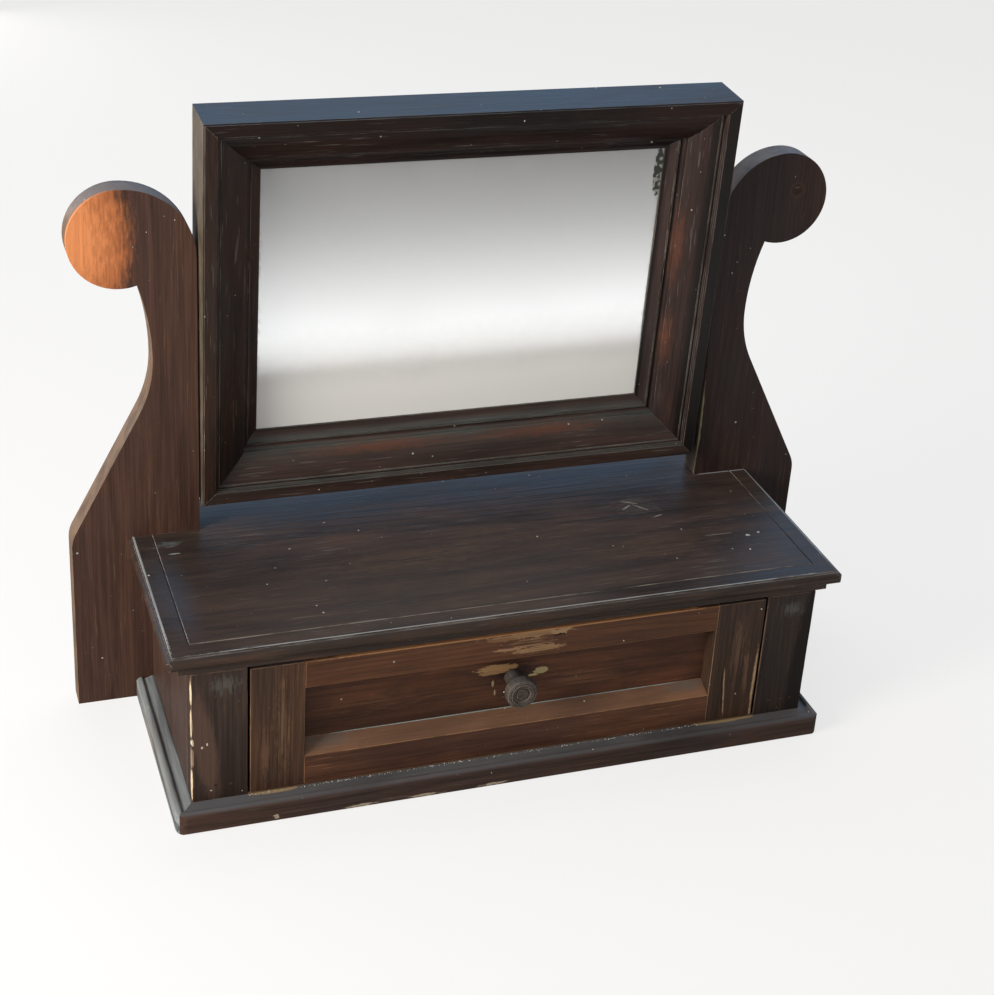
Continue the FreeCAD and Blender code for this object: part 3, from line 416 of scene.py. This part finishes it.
# box: sides, pilasters and plinth
sideLook = {"light": "45332c", "red": "4c372e"}
agedCopy("side_panel_left", agedPine("leftSideWood", "z", 4, **sideLook), "stand")
agedCopy("side_panel_right", agedPine("rightSideWood", "z", 5, **sideLook), "stand")
cornerSeam = [onFace(-0.2362, z, 0.0011, tall, "c9b79a", ragged=1.2)
              for z, tall in ((0.109, 0.011), (0.083, 0.014), (0.033, 0.015))]
cornerSeam += [onFace(-0.2352, 0.0680, 0.0013, 0.0034, "c9bda4", ragged=1.4),
               onFace(-0.2356, 0.0540, 0.0013, 0.0100, "8a7562", ragged=2.2)]
leftPilaster = cornerSeam + [
    onFace(-0.2265, 0.0620, 0.010, 0.058, "5d473c", turn=(0, -0.13, 0), ragged=0.7, soft=0.5, strength=0.6,
           **unraised),
    onFace(-0.2120, 0.1120, 0.014, 0.009, "5f605d", ragged=3.0, soft=0.9, strength=0.45),
    onFace(-0.2285, 0.0627, 0.0009, 0.0012, "b4b0a4", ragged=1.4),
    onFace(-0.2250, 0.0650, 0.0007, 0.0014, "b4b0a4", ragged=1.2),
]
rightPilaster = [
    onFace(0.2340, 0.0700, 0.012, 0.085, "151110", turn=(0, 0.07, 0), ragged=0.7, soft=0.35, strength=0.8,
           **unraised),
    onFace(0.2190, 0.1100, 0.011, 0.008, "5f5f60", ragged=3.2, soft=0.9, strength=0.5),
]
pilasterLook = {"dark": "1d1614", "light": "3a2d28", "red": "41322a", "heart": (0.215, -0.02), "gloss": 0.5}
# the right pilaster a darker copy: painted shade on the side away from the light
darkPilaster = {**pilasterLook, "dark": "161110", "light": "2c2320", "red": "312721"}
leftWood = agedPine("leftPilasterWood", "z", 6, leftPilaster, **pilasterLook)
agedCopy("pilaster_left", leftWood, "stand", edge=0.0009, nick=0.0012)
rightWood = agedPine("rightPilasterWood", "z", 7, rightPilaster, **darkPilaster)
agedCopy("pilaster_right", rightWood, "stand", edge=0.0009, nick=0.0012)
plinthLook = {"dark": "1f1917", "light": "3a2f2c", "red": "46332b", "bloom": 0.55, "bloomColour": "62686f",
              "worn": "857a6e", "wear": 0.8, "gloss": 0.40}
plinthMarks = [{"at": (x, plinthY, z), "size": (long, 0.004, tall), "colour": "9d907c", "ragged": 3.0}
               for x, z, long, tall in ((-0.1785, 0.0040, 0.0024, 0.0018), (-0.118, 0.0020, 0.012, 0.0010),
                                        (-0.070, 0.0022, 0.013, 0.0010), (-0.017, 0.0022, 0.010, 0.0011))]
plinthMarks += [{"at": (x, faceY - 0.001, 0.0172), "size": (long, 0.0022, 0.004), "colour": "8f7a58",
                 "ragged": 0.8, "strength": 0.8} for x, long in ((-0.1780, 0.022), (0.1720, 0.027))]
frontWood = agedPine("frontPlinthWood", "x", 8, plinthMarks, **plinthLook)
agedCopy("plinth_front", frontWood, "stand", nick=0.0022)
# the left plinth a pale bluish copy: painted light on the side facing the lamp
litPlinthSide = {**plinthLook, "light": "959da0", "red": "7c7b77", "dark": "3a3d3f", "streaks": 0.45}
agedCopy("plinth_left", agedPine("leftPlinthWood", "y", 9, **litPlinthSide), "stand", nick=0.0018)
agedCopy("plinth_right", agedPine("rightPlinthWood", "y", 10, **plinthLook), "stand", nick=0.0018)
print("box done")

# drawer front: the warmest wood, chipped pale to bare wood above the knob
bare = {"ragged": 2.6, "streaky": True, "soft": 0.15, "raise": -1.2}
railChips = [
    onFace(0.0080, 0.1195, 0.034, 0.0028, "86694c", **bare),
    onFace(0.0310, 0.1190, 0.007, 0.0030, "93785c", **bare),
    onFace(0.0080, 0.1125, 0.020, 0.0034, "80644a", **bare),
    onFace(-0.0090, 0.1090, 0.012, 0.0018, "8d6d54", **bare),
    onFace(0.0140, 0.1065, 0.022, 0.0028, "8a6d4e", **bare),
    onFace(-0.0060, 0.1120, 0.012, 0.0010, "2e1a12", **bare),
    onFace(-0.0150, 0.1180, 0.012, 0.0016, "75563f", **bare),
    onFace(0.0040, 0.1035, 0.012, 0.0012, "806449", **bare),
    onFace(0.0300, 0.1160, 0.005, 0.0012, "281a12", **bare),
    onFace(0.0, 0.1222, 0.152, 0.0009, "a57853", ragged=0.7, square=True, strength=0.9),
    onFace(0.0900, 0.1060, 0.070, 0.006, "3d281e", ragged=2.6, soft=1.0, strength=0.5, **unraised),
]
topRail = {"dark": "332014", "light": "513321", "red": "5d3a24", "worn": "9a7350", "wear": 0.7,
           "gloss": 0.46, "bloom": 0.2}
railWood = agedPine("topRailWood", "x", 11, railChips, **topRail)
agedCopy("drawer_rail_top", railWood, "drawer", edge=0.0005, nick=0.0014)
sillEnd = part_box("drawer_rail_bottom")[1].z
dusty = {"colour": "5a5652", "ragged": 1.6, "soft": 0.8, "strength": 0.6, **unraised}
sillMarks = [
    # a pale line where the panel meets the sill: dust with a painted highlight
    {"at": (0, panelY - 0.0004, sillEnd), "size": (0.152, 0.0012, 0.0008), "colour": "828c8a",
     "ragged": 1.0, "square": True},
    {"at": (-0.140, panelY - 0.004, 0.0500), "size": (0.028, 0.008, 0.008), **dusty},
    {"at": (0.140, panelY - 0.003, 0.0500), "size": (0.022, 0.008, 0.007), **dusty},
]
# the sill's upward bevel paler and warm: dust and painted light from above
lowRail = {**topRail, "dark": "291a13", "light": "4b3126", "red": "5c3b2a", "bloom": 0.75,
           "bloomColour": "8d6b52", "dashes": 0.3}
sillWood = agedPine("bottomRailWood", "x", 12, sillMarks, **lowRail)
agedCopy("drawer_rail_bottom", sillWood, "drawer", edge=0.0005)
# stiles: pale streaks, and a long crack with a lit edge
paleStreak = {"ragged": 2.2, "soft": 0.8, "strength": 0.35, "streaky": True}
crack = {"turn": (0, -0.08, 0)}
stileMarks = [
    onFace(-0.172, 0.070, 0.008, 0.045, "86664b", **paleStreak),
    onFace(-0.184, 0.050, 0.004, 0.030, "7d5d48", **paleStreak),
    onFace(0.176, 0.080, 0.008, 0.035, "785a46", **paleStreak),
    onFace(0.186, 0.060, 0.004, 0.030, "785a46", **paleStreak),
    onFace(0.1690, 0.0430, 0.0008, 0.026, "8f775d", ragged=1.6, soft=0.5, **crack),
    onFace(0.1675, 0.0430, 0.0008, 0.026, "1f140f", ragged=0.8, soft=0.4, strength=0.7, **crack),
    # a pale strip down the right stile's outer edge: wear and painted light off the pilaster's lit inner side
    onFace(0.1932, 0.0480, 0.0013, 0.036, "977e63", ragged=1.9, soft=0.5),
    onFace(0.1555, 0.1130, 0.0010, 0.011, "a08768", ragged=1.4),
]
stileLook = {"dark": "251913", "light": "422f24", "red": "4e3627", "heart": (0.172, -0.07), "ringWidth": 0.005,
             "gloss": 0.5, "dashes": 0.15, "wear": 0.7, "worn": "8c7056", "fibreShow": 0.30, "streaks": 0.12}
# the right stile a darker copy: painted shade on the side away from the light
darkStile = {**stileLook, "dark": "1f1611", "light": "37281f", "red": "422e22"}
leftWood = agedPine("leftStileWood", "z", 13, stileMarks, **stileLook)
agedCopy("drawer_stile_left", leftWood, "drawer", edge=0.0006)
rightWood = agedPine("rightStileWood", "z", 14, stileMarks, **darkStile)
agedCopy("drawer_stile_right", rightWood, "drawer", edge=0.0006)
# panel: dark behind the knob, with flakes of old varnish standing beside it
flaked = {"ragged": 2.2, "soft": 0.12, "raise": 1.2}
panelMarks = [
    onPanel(0.0, 0.0830, 0.030, 0.016, "171110", ragged=1.8, soft=0.9, strength=0.8, **unraised),
    onPanel(0.0, 0.0620, 0.016, 0.010, "171110", ragged=1.8, soft=0.9, strength=0.6, **unraised),
    onPanel(-0.0125, 0.0870, 0.0155, 0.0034, "957551", **flaked),
    onPanel(-0.0165, 0.0835, 0.0090, 0.0020, "8a6a4a", **flaked),
    onPanel(0.0225, 0.0800, 0.0052, 0.0034, "8f8160", **flaked),
    onPanel(0.0165, 0.0772, 0.0040, 0.0012, "a3936a", **flaked),
    onPanel(-0.0144, 0.0745, 0.0009, 0.0032, "8d7a62", ragged=1.6),
    onPanel(-0.0125, 0.0665, 0.0008, 0.0028, "8d7a62", ragged=1.6),
    onPanel(0.1200, 0.0780, 0.050, 0.022, "26180f", ragged=1.8, soft=1.2, strength=0.45, **unraised),
    onPanel(0.0500, 0.0680, 0.045, 0.012, "74503a", ragged=1.8, soft=1.2, strength=0.45, streaky=True,
            **unraised),
    onPanel(-0.1000, 0.0720, 0.050, 0.010, "6b4631", ragged=2.6, soft=1.2, strength=0.5, streaky=True,
            **unraised),
]
panelLook = {"dark": "251710", "light": "432a1c", "red": "5a3522", "dashes": 0.35, "worn": "835a3f",
             "gloss": 0.42, "ringWidth": 0.008, "heart": (0.02, -0.02)}
agedCopy("drawer_panel", agedPine("panelWood", "x", 15, panelMarks, **panelLook), "drawer", edge=0.0003)
knobLook = {"dark": "272321", "light": "4c4641", "red": "473e38", "worn": "776f68", "wear": 0.8,
            "ringWidth": 0.0024, "gloss": 0.55, "heart": (0.004, 0.002), "fibreShow": 0.4}
knobWood = agedPine("knobWood", "y", 16, **knobLook)
agedCopy("drawer_knob", knobWood, "drawer", edge=0.0004, every=0.004, slot="knob_wood")
print("drawer front done")

# mirror frame: near black mouldings, redder in the hollows
# the pale grey rubbed ridges stand for dust and painted highlights
frameLook = {"dark": "1b1513", "light": "2f2320", "red": "44291e", "bloom": 0.35, "bloomColour": "3f4852",
             "worn": "b3b0aa", "wear": 1.0, "gloss": 0.36, "flat": 0.3}
members = {
    # the top member a darker copy: painted shade on its downward cove
    "frame_top": ("x", {"dark": "150f0d", "light": "1a120f", "red": "291711", "flat": 0.0}),
    # the bottom member paler, with more bluish bloom: dust and painted sky light on its upward cove
    "frame_bottom": ("x", {"light": "352a27", "red": "40302b", "flat": 0.0, "bloom": 0.6,
                           "bloomColour": "515c5b"}),
    # the left member's side faces paler: painted light from the left
    "frame_left": ("z", {"light": "27201d", "red": "38241b", "flat": 0.0, "rim": 0.6, "rimColour": "746b5c"}),
    # the right member's front faces darkened: painted shade
    "frame_right": ("z", {"light": "2c2423", "red": "3c2b27", "flat": 0.85, "flatColour": "12110f"}),
}
glassLow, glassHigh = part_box("mirror_glass")
# redder patches in the coves of the bottom and right members
redPatch = {"colour": "6a3c27", "ragged": 1.5, "soft": 1.3, "strength": 0.65, **unraised}
redHollows = {
    "frame_bottom": [{"at": (x, glassLow.y, glassLow.z - 0.010), "size": (wide, 0.05, 0.0065), **redPatch}
                     for x, wide in ((-0.060, 0.085), (0.070, 0.080))],
    "frame_right": [{"at": (glassHigh.x + 0.008, glassLow.y, z), "size": (0.0060, 0.05, tall), **redPatch}
                    for z, tall in ((0.345, 0.050), (0.265, 0.030))],
}
for number, (member, (grain, own)) in enumerate(members.items()):
    look = {**frameLook, **own}
    wood = agedPine(member.split("_")[1] + "FrameWood", grain, 20 + number, redHollows.get(member, ()), **look)
    agedCopy(member, wood, "mirror", edge=0.0021, steps=4, nick=0.0014, seed=20 + number)
print("mirror frame done")


# looking glass: silvered plate under a painted pale sheet, thickest low down, spoiled at the rim and perished
# in one corner
glassLook = {"silver": "eceeee", "spoiled": "7d7a72", "bare": "2c302b", "backing": "8b9089", "haze": "f4f5f5",
             "lip": 0.0062, "rimWidth": 0.004, "roughness": (0.12, 0.16),
             "paintedPaleFrom": 0.040, "paintedPaleTo": 0.100, "paintedPaleLow": 0.92, "paintedPaleHigh": 0.24}


def silvering(look):
    material, tree = blankMaterial("oldMirror")
    low, high = glassLow, glassHigh
    middle, half = (low + high) / 2, (high - low) / 2
    place = put(tree, "TexCoord").outputs["Object"]
    clouds = {"Vector": place, "Scale": 14.0, "Detail": 5.0, "Roughness": 0.6}
    cloud = put(tree, "TexNoise", clouds).outputs["Fac"]
    spots = put(tree, "TexNoise", {"Vector": place, "Scale": 300.0, "Detail": 2.0}).outputs["Fac"]
    centred = put(tree, "VectorMath", {0: place, 1: middle}, operation="SUBTRACT").outputs[0]
    apart = put(tree, "VectorMath", {0: centred}, operation="ABSOLUTE").outputs[0]
    reach = put(tree, "SeparateXYZ", {0: apart})
    side = calc(tree, "SUBTRACT", half.x - look["lip"], reach.outputs["X"])
    end = calc(tree, "SUBTRACT", half.z - look["lip"], reach.outputs["Z"])
    near = ramp(tree, calc(tree, "MINIMUM", side, end), 0.0, look["rimWidth"], 1.0, 0.0)
    spoiled = calc(tree, "MULTIPLY", near, ramp(tree, spots, 0.50, 0.62, 0.0, 0.5))
    corner = {"at": (high.x - 0.0090, middle.y, high.z - 0.0260), "size": (0.0045, 0.04, 0.022), "ragged": 0.5}
    perished = mark(tree, place, calc(tree, "SUBTRACT", spots, 0.5), corner)
    silver = tint(tree, spoiled, rgb(look["silver"]), rgb(look["spoiled"]))
    plate = put(tree, "BsdfPrincipled", {"Base Color": silver, "Metallic": 1.0,
                                         "Roughness": ramp(tree, cloud, 0.3, 0.8, *look["roughness"])})
    unsilvered = tint(tree, ramp(tree, spots, 0.5, 0.6), rgb(look["bare"]), rgb(look["backing"]))
    matteColour = tint(tree, perished, rgb(look["haze"]), unsilvered)
    haze = put(tree, "BsdfPrincipled", {"Base Color": matteColour, "Roughness": 0.5})
    uneven = calc(tree, "MULTIPLY_ADD", cloud, 0.02, put(tree, "SeparateXYZ", {0: place}).outputs["Z"])
    # a pale matte sheet over the silver, thickest low down: painted reflection in place of the board's dark
    # one
    paintedPaleShare = ramp(tree, uneven, low.z + look["paintedPaleFrom"], low.z + look["paintedPaleTo"], look["paintedPaleLow"],
                 look["paintedPaleHigh"])
    amount = calc(tree, "MAXIMUM", paintedPaleShare, perished)
    both = put(tree, "MixShader", {0: amount, 1: plate.outputs[0], 2: haze.outputs[0]})
    put(tree, "OutputMaterial", {"Surface": both.outputs[0]})
    return material


def plainCad(names, material):
    # the frame's own pieces, as they are, in one material
    for name in names:
        nodes[name].data.materials.clear()
        nodes[name].data.materials.append(material)


plainCad(["mirror_glass"], silvering(glassLook))
# inside and at the back the pine is bare, and darker where it has met the air
rawLook = {"dark": "6b4a30", "light": "a37a52", "red": "96693f", "worn": "b08a60", "wear": 0.2, "bloom": 0.15,
           "bloomColour": "8a8074", "gloss": 0.68, "shine": 0.3, "ringShow": 0.45}
oldLook = {**rawLook, "dark": "3b2a20", "light": "69503b", "red": "5e432e"}
plainCad(["drawer_bottom", "drawer_back", "drawer_stops"], agedPine("rawPineAcross", "x", 30, **rawLook))
plainCad(["drawer_side_left", "drawer_side_right", "drawer_guide_left", "drawer_guide_right",
          "drawer_kicker_left", "drawer_kicker_right", "glue_blocks"],
         agedPine("rawPineAlong", "y", 31, **rawLook))
plainCad(["back_panel", "bottom_board", "mirror_backing"], agedPine("oldPineAcross", "x", 32, **oldLook))
plainCad(["rear_cheek_left", "rear_cheek_right"], agedPine("oldPineUp", "z", 34, **oldLook))
plainCad(["pivot_pin_left", "pivot_pin_right"], agedPine("pinWood", "x", 33, **oldLook))


def dullSteel():
    material, tree = blankMaterial("dullSteel")
    place = put(tree, "TexCoord").outputs["Object"]
    rust = put(tree, "TexNoise", {"Vector": place, "Scale": 420.0, "Detail": 4.0}).outputs["Fac"]
    colour = tint(tree, ramp(tree, rust, 0.42, 0.6), rgb("5d5a57"), rgb("4a2a1a"))
    bump = put(tree, "Bump", {"Height": rust, "Strength": 0.3, "Distance": 0.0003})
    skin = put(tree, "BsdfPrincipled", {"Base Color": colour, "Metallic": 0.85, "Normal": bump.outputs[0],
                                        "Roughness": ramp(tree, rust, 0.3, 0.7, 0.35, 0.7)})
    put(tree, "OutputMaterial", {"Surface": skin.outputs[0]})
    return material


steel = dullSteel()
plainCad(["upright_screws", "pilaster_nails", "backing_nails"], steel)
print("inner pieces and metal done")


def nodeGroup(name, inlets, outlet):
    # an empty geometry group with named inputs, and the function that adds a node to it
    group = bpy.data.node_groups.new(name, "GeometryNodeTree")
    for label, kind in inlets:
        group.interface.new_socket(label, in_out="INPUT", socket_type="NodeSocket" + kind)
    group.interface.new_socket(outlet, in_out="OUTPUT", socket_type="NodeSocketGeometry")

    def add(kind, wires=(), **settings):
        node = group.nodes.new(kind)
        for label, setting in settings.items():
            setattr(node, label, setting)
        for socket, value in dict(wires).items():
            for one in value if isinstance(value, list) else [value]:
                if isinstance(one, bpy.types.NodeSocket):
                    group.links.new(one, node.inputs[socket])
                else:
                    node.inputs[socket].default_value = one
        return node
    return group, add


def fleckGroup():
    sizes = [(label, "Float") for label in ("Density", "Smallest", "Largest", "Flatness")]
    inlets = [("Surface", "Geometry"), *sizes, ("Seed", "Int"), ("Paint", "Material")]
    group, add = nodeGroup("scatteredFlecks", inlets, "Flecks")
    given = add("NodeGroupInput").outputs
    points = add("GeometryNodeDistributePointsOnFaces", {"Mesh": given["Surface"], "Density": given["Density"],
                                                         "Seed": given["Seed"]})
    chance = add("FunctionNodeRandomValue", {"Seed": given["Seed"]}, data_type="FLOAT").outputs[1]
    rare = add("ShaderNodeMath", {0: chance, 1: 3.0}, operation="POWER").outputs[0]
    spread = {"Value": rare, "To Min": given["Smallest"], "To Max": given["Largest"]}
    width = add("ShaderNodeMapRange", spread).outputs[0]
    height = add("ShaderNodeMath", {0: width, 1: given["Flatness"]}, operation="MULTIPLY").outputs[0]
    scale = add("ShaderNodeCombineXYZ", {0: width, 1: width, 2: height}).outputs[0]
    grain = add("GeometryNodeMeshIcoSphere", {"Radius": 1.0, "Subdivisions": 2})
    flecks = add("GeometryNodeInstanceOnPoints", {"Points": points.outputs["Points"],
                                                  "Instance": grain.outputs[0],
                                                  "Rotation": points.outputs["Rotation"], "Scale": scale})
    solid = add("GeometryNodeRealizeInstances", {0: flecks.outputs[0]})
    painted = add("GeometryNodeSetMaterial", {"Geometry": solid.outputs[0], "Material": given["Paint"]})
    add("NodeGroupOutput", {0: painted.outputs[0]})
    return group


def paleSpecks():
    material, tree = blankMaterial("paleSpecks")
    place = put(tree, "TexCoord").outputs["Object"]
    shade = put(tree, "TexNoise", {"Vector": place, "Scale": 160.0, "Detail": 2.0}).outputs["Fac"]
    colour = tint(tree, ramp(tree, shade, 0.35, 0.65), rgb("7d7f7e"), rgb("b9bab5"))
    skin = put(tree, "BsdfPrincipled", {"Base Color": colour, "Roughness": 0.8})
    put(tree, "OutputMaterial", {"Surface": skin.outputs[0]})
    return material


def grown(name, mesh, body, group, settings):
    # a mesh put through a node group, kept as one plain mesh that rides on a body
    piece = linked(name, mesh)
    growing = piece.modifiers.new("growing", "NODES")
    growing.node_group = group
    for item in group.interface.items_tree:
        if item.in_out == "INPUT" and item.name in settings:
            growing[item.identifier] = settings[item.name]
    piece.data = applied(piece)
    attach(piece, body)
    print(name, len(piece.data.polygons), "faces")
    return piece


def seenFaces(pieces, boreReach=0.005):
    # the outer faces that look up or forward, joined in one mesh, without those inside the pins' bores
    pinLow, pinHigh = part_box("pivot_pin_left")
    pinMiddle = (pinLow + pinHigh) / 2
    joined = bmesh.new()
    for piece in pieces:
        joined.from_mesh(piece.data)
    hidden = []
    for face in joined.faces:
        fromPin = face.calc_center_median() - pinMiddle
        inBore = math.hypot(fromPin.y, fromPin.z) < boreReach
        if inBore or (face.normal.z < 0.5 and face.normal.y > -0.5):
            hidden.append(face)
    bmesh.ops.delete(joined, geom=hidden, context="FACES")
    mesh = bpy.data.meshes.new("seenFaces")
    joined.to_mesh(mesh)
    joined.free()
    return mesh


def levelFace(name, x0, x1, y0, y1, z):
    mesh = bpy.data.meshes.new(name)
    mesh.from_pydata([(x0, y0, z), (x1, y0, z), (x1, y1, z), (x0, y1, z)], [], [(0, 1, 2, 3)])
    return mesh


specks = paleSpecks()
flecking = fleckGroup()
fleckLook = {"Density": 850.0, "Smallest": 0.00018, "Largest": 0.0009, "Flatness": 0.35, "Paint": specks}
for number, body in enumerate(("stand", "drawer", "mirror")):
    look = {**fleckLook, "Seed": 40 + number}
    grown("flecks" + body.title(), seenFaces(finished[body]), body, flecking, look)
# a line of dust on the plinth's ledge under the drawer: its ends in x, and how far before the face it lies
dustLook = {"Density": 700000.0, "Smallest": 0.00018, "Largest": 0.0006, "Flatness": 0.6, "Seed": 50,
            "Paint": specks}
dustPlace = {"left": -0.196, "right": 0.150, "front": 0.0022, "back": 0.0004, "sunk": 0.0001}
ledge = levelFace("ledge", dustPlace["left"], dustPlace["right"], faceY - dustPlace["front"],
                  faceY - dustPlace["back"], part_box("plinth_front")[1].z - dustPlace["sunk"])
grown("ledgeDust", ledge, "stand", flecking, dustLook)
print("flecks done")


def screwGroup():
    sizes = [(label, "Float") for label in ("Head Radius", "Head Depth", "Shank Radius", "Length",
                                            "Slot Width", "Slot Depth")]
    inlets = [("Places", "Geometry"), *sizes, ("Seed", "Int"), ("Metal", "Material")]
    group, add = nodeGroup("slottedScrews", inlets, "Screws")
    given = add("NodeGroupInput").outputs
    sunk = add("ShaderNodeMath", {0: given["Head Depth"], 1: -1.0}, operation="MULTIPLY").outputs[0]
    drop = add("ShaderNodeCombineXYZ", {2: sunk}).outputs[0]
    cone = add("GeometryNodeMeshCone", {"Vertices": 32, "Radius Top": given["Head Radius"],
                                        "Radius Bottom": given["Shank Radius"], "Depth": given["Head Depth"]})
    head = add("GeometryNodeTransform", {"Geometry": cone.outputs[0], "Translation": drop}).outputs[0]
    long = add("ShaderNodeMath", {0: given["Head Radius"], 1: 3.0}, operation="MULTIPLY").outputs[0]
    tall = add("ShaderNodeMath", {0: given["Slot Depth"], 1: 2.0}, operation="MULTIPLY").outputs[0]
    slotSize = add("ShaderNodeCombineXYZ", {0: long, 1: given["Slot Width"], 2: tall}).outputs[0]
    slot = add("GeometryNodeMeshCube", {"Size": slotSize}).outputs[0]
    cut = add("GeometryNodeMeshBoolean", {0: head, 1: slot}, operation="DIFFERENCE").outputs[0]
    shank = add("GeometryNodeMeshCylinder", {"Vertices": 16, "Radius": given["Shank Radius"],
                                             "Depth": given["Length"]})
    half = add("ShaderNodeMath", {0: given["Length"], 1: -0.5, 2: sunk}, operation="MULTIPLY_ADD").outputs[0]
    below = add("ShaderNodeCombineXYZ", {2: half}).outputs[0]
    shaft = add("GeometryNodeTransform", {"Geometry": shank.outputs[0], "Translation": below}).outputs[0]
    screw = add("GeometryNodeJoinGeometry", {0: [cut, shaft]}).outputs[0]
    turned = {"Max": math.tau, "Seed": given["Seed"]}
    spin = add("FunctionNodeRandomValue", turned, data_type="FLOAT").outputs[1]
    facing = add("ShaderNodeCombineXYZ", {0: -math.pi / 2, 1: spin}).outputs[0]
    points = add("GeometryNodeMeshToPoints", {0: given["Places"]}).outputs[0]
    rows = add("GeometryNodeInstanceOnPoints", {"Points": points, "Instance": screw, "Rotation": facing})
    solid = add("GeometryNodeRealizeInstances", {0: rows.outputs[0]}).outputs[0]
    made = add("GeometryNodeSetMaterial", {"Geometry": solid, "Material": given["Metal"]})
    add("NodeGroupOutput", {0: made.outputs[0]})
    return group


screwLook = {"Head Radius": 0.0043, "Head Depth": 0.0021, "Shank Radius": 0.0021, "Length": 0.040,
             "Slot Width": 0.0009, "Slot Depth": 0.0010, "Seed": 7, "Metal": steel}
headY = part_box("upright_screws")[1].y
screwPlaces = bpy.data.meshes.new("screwPlaces")
screwPlaces.from_pydata([(x, headY, z) for x in (-0.228, 0.228) for z in (0.034, 0.102)], [], [])
screws = grown("slottedScrews", screwPlaces, "stand", screwGroup(), screwLook)
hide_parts("upright_screws")
print("screws done")

# the camera: its place in metres, its lens in millimetres and its angles in degrees
view = {"place": (-0.4263, -1.1758, 0.8756), "lens": 69.76, "yaw": 20.78, "pitch": 26.41, "roll": 4.06,
        "shift": (-0.0176, -0.0879)}


def makeCamera():
    yaw, pitch, roll = (math.radians(view[k]) for k in ("yaw", "pitch", "roll"))
    ahead = Vector((math.sin(yaw) * math.cos(pitch), math.cos(yaw) * math.cos(pitch), -math.sin(pitch)))
    side = Vector((math.cos(yaw), -math.sin(yaw), 0))
    above = side.cross(ahead)
    right = side * math.cos(roll) + above * math.sin(roll)
    up = above * math.cos(roll) - side * math.sin(roll)
    data = bpy.data.cameras.new("camera")
    data.lens = view["lens"]
    data.sensor_width = 36
    data.shift_x, data.shift_y = view["shift"]
    camera = linked("camera", data)
    camera.matrix_world = Matrix((right, up, -ahead)).transposed().to_4x4()
    camera.location = view["place"]
    bpy.context.scene.camera = camera


def lamp(name, place, target, size, power, colour):
    data = bpy.data.lights.new(name, "AREA")
    data.shape = "DISK"
    data.size = size
    data.energy = power
    data.color = colour
    light = linked(name, data)
    light.location = place
    light.rotation_euler = (Vector(target) - Vector(place)).to_track_quat("-Z", "Y").to_euler()


# how bright the floor is in the glass and in polish, by its distance in front of the middle in metres
mirroredFloor = ((-2.0, 0.65), (-1.3, 0.30), (-0.80, 0.04), (-0.60, 0.31), (-0.48, 0.68), (-0.40, 1.0),
                 (-0.31, 1.0), (-0.27, 0.20), (-0.05, 0.14))


def makeStage(reach=14):
    mesh = levelFace("floor", -reach, reach, -reach, reach, 0)
    floor = linked("floor", mesh)
    material, tree = blankMaterial("paleFloor")
    path = put(tree, "LightPath")
    seen = calc(tree, "MAXIMUM", path.outputs["Is Camera Ray"], path.outputs["Is Transmission Ray"])
    lit = put(tree, "BsdfDiffuse", {"Color": (0.85, 0.85, 0.85, 1)})
    glow = put(tree, "Emission", {"Color": (1, 1, 1, 1), "Strength": 1.0})
    share = calc(tree, "MULTIPLY", seen, 0.70)
    both = put(tree, "MixShader", {0: share, 1: lit.outputs[0], 2: glow.outputs[0]})
    distance = put(tree, "SeparateXYZ", {0: put(tree, "TexCoord").outputs["Object"]}).outputs["Y"]
    fade = put(tree, "ValToRGB", {0: calc(tree, "MULTIPLY_ADD", distance, 0.5, 1.0)})
    stops = fade.color_ramp.elements
    while len(stops) < len(mirroredFloor):
        stops.new(1.0)
    for stop, (at, level) in zip(stops, mirroredFloor):
        stop.position = 1 + at / 2
        stop.color = (level, level, level, 1)
    mirrored = put(tree, "Emission", {"Color": fade.outputs[0], "Strength": 1.35})
    polished = path.outputs["Is Glossy Ray"]
    full = put(tree, "MixShader", {0: polished, 1: both.outputs[0], 2: mirrored.outputs[0]})
    put(tree, "OutputMaterial", {"Surface": full.outputs[0]})
    mesh.materials.append(material)

    world = bpy.data.worlds.new("studio")
    world.use_nodes = True
    tree = world.node_tree
    tree.nodes.clear()
    path = put(tree, "LightPath")
    seen = calc(tree, "MAXIMUM", path.outputs["Is Camera Ray"], path.outputs["Is Transmission Ray"])
    behind = put(tree, "SeparateXYZ", {0: put(tree, "TexCoord").outputs["Generated"]}).outputs["Y"]
    sky = tint(tree, ramp(tree, behind, -0.1, 0.5), (0.55, 0.55, 0.56, 1), (0.46, 0.74, 1.12, 1))
    room = put(tree, "Background", {"Color": (1.0, 0.97, 0.93, 1), "Strength": 0.40})
    bright = put(tree, "Background", {"Color": (1, 1, 1, 1), "Strength": 1.0})
    sheen = put(tree, "Background", {"Color": sky, "Strength": 1.0})
    first = put(tree, "MixShader", {0: path.outputs["Is Glossy Ray"], 1: room.outputs[0], 2: sheen.outputs[0]})
    last = put(tree, "MixShader", {0: seen, 1: first.outputs[0], 2: bright.outputs[0]})
    put(tree, "OutputWorld", {"Surface": last.outputs[0]})
    bpy.context.scene.world = world
    bpy.context.scene.view_settings.view_transform = "Standard"


makeCamera()
makeStage()
lamp("keyLamp", (-1.55, -0.50, 0.75), (0, 0, 0.2), 0.8, 34, (1.0, 0.93, 0.84))
lamp("backLamp", (-0.6, 1.9, 0.25), (0, 0, 0.2), 1.0, 5, (1.0, 0.98, 0.95))
lamp("skyLamp", (0.1, 0.7, 1.7), (0, 0, 0.15), 1.2, 8, (0.85, 0.92, 1.0))
print("stage, lamps and camera done")
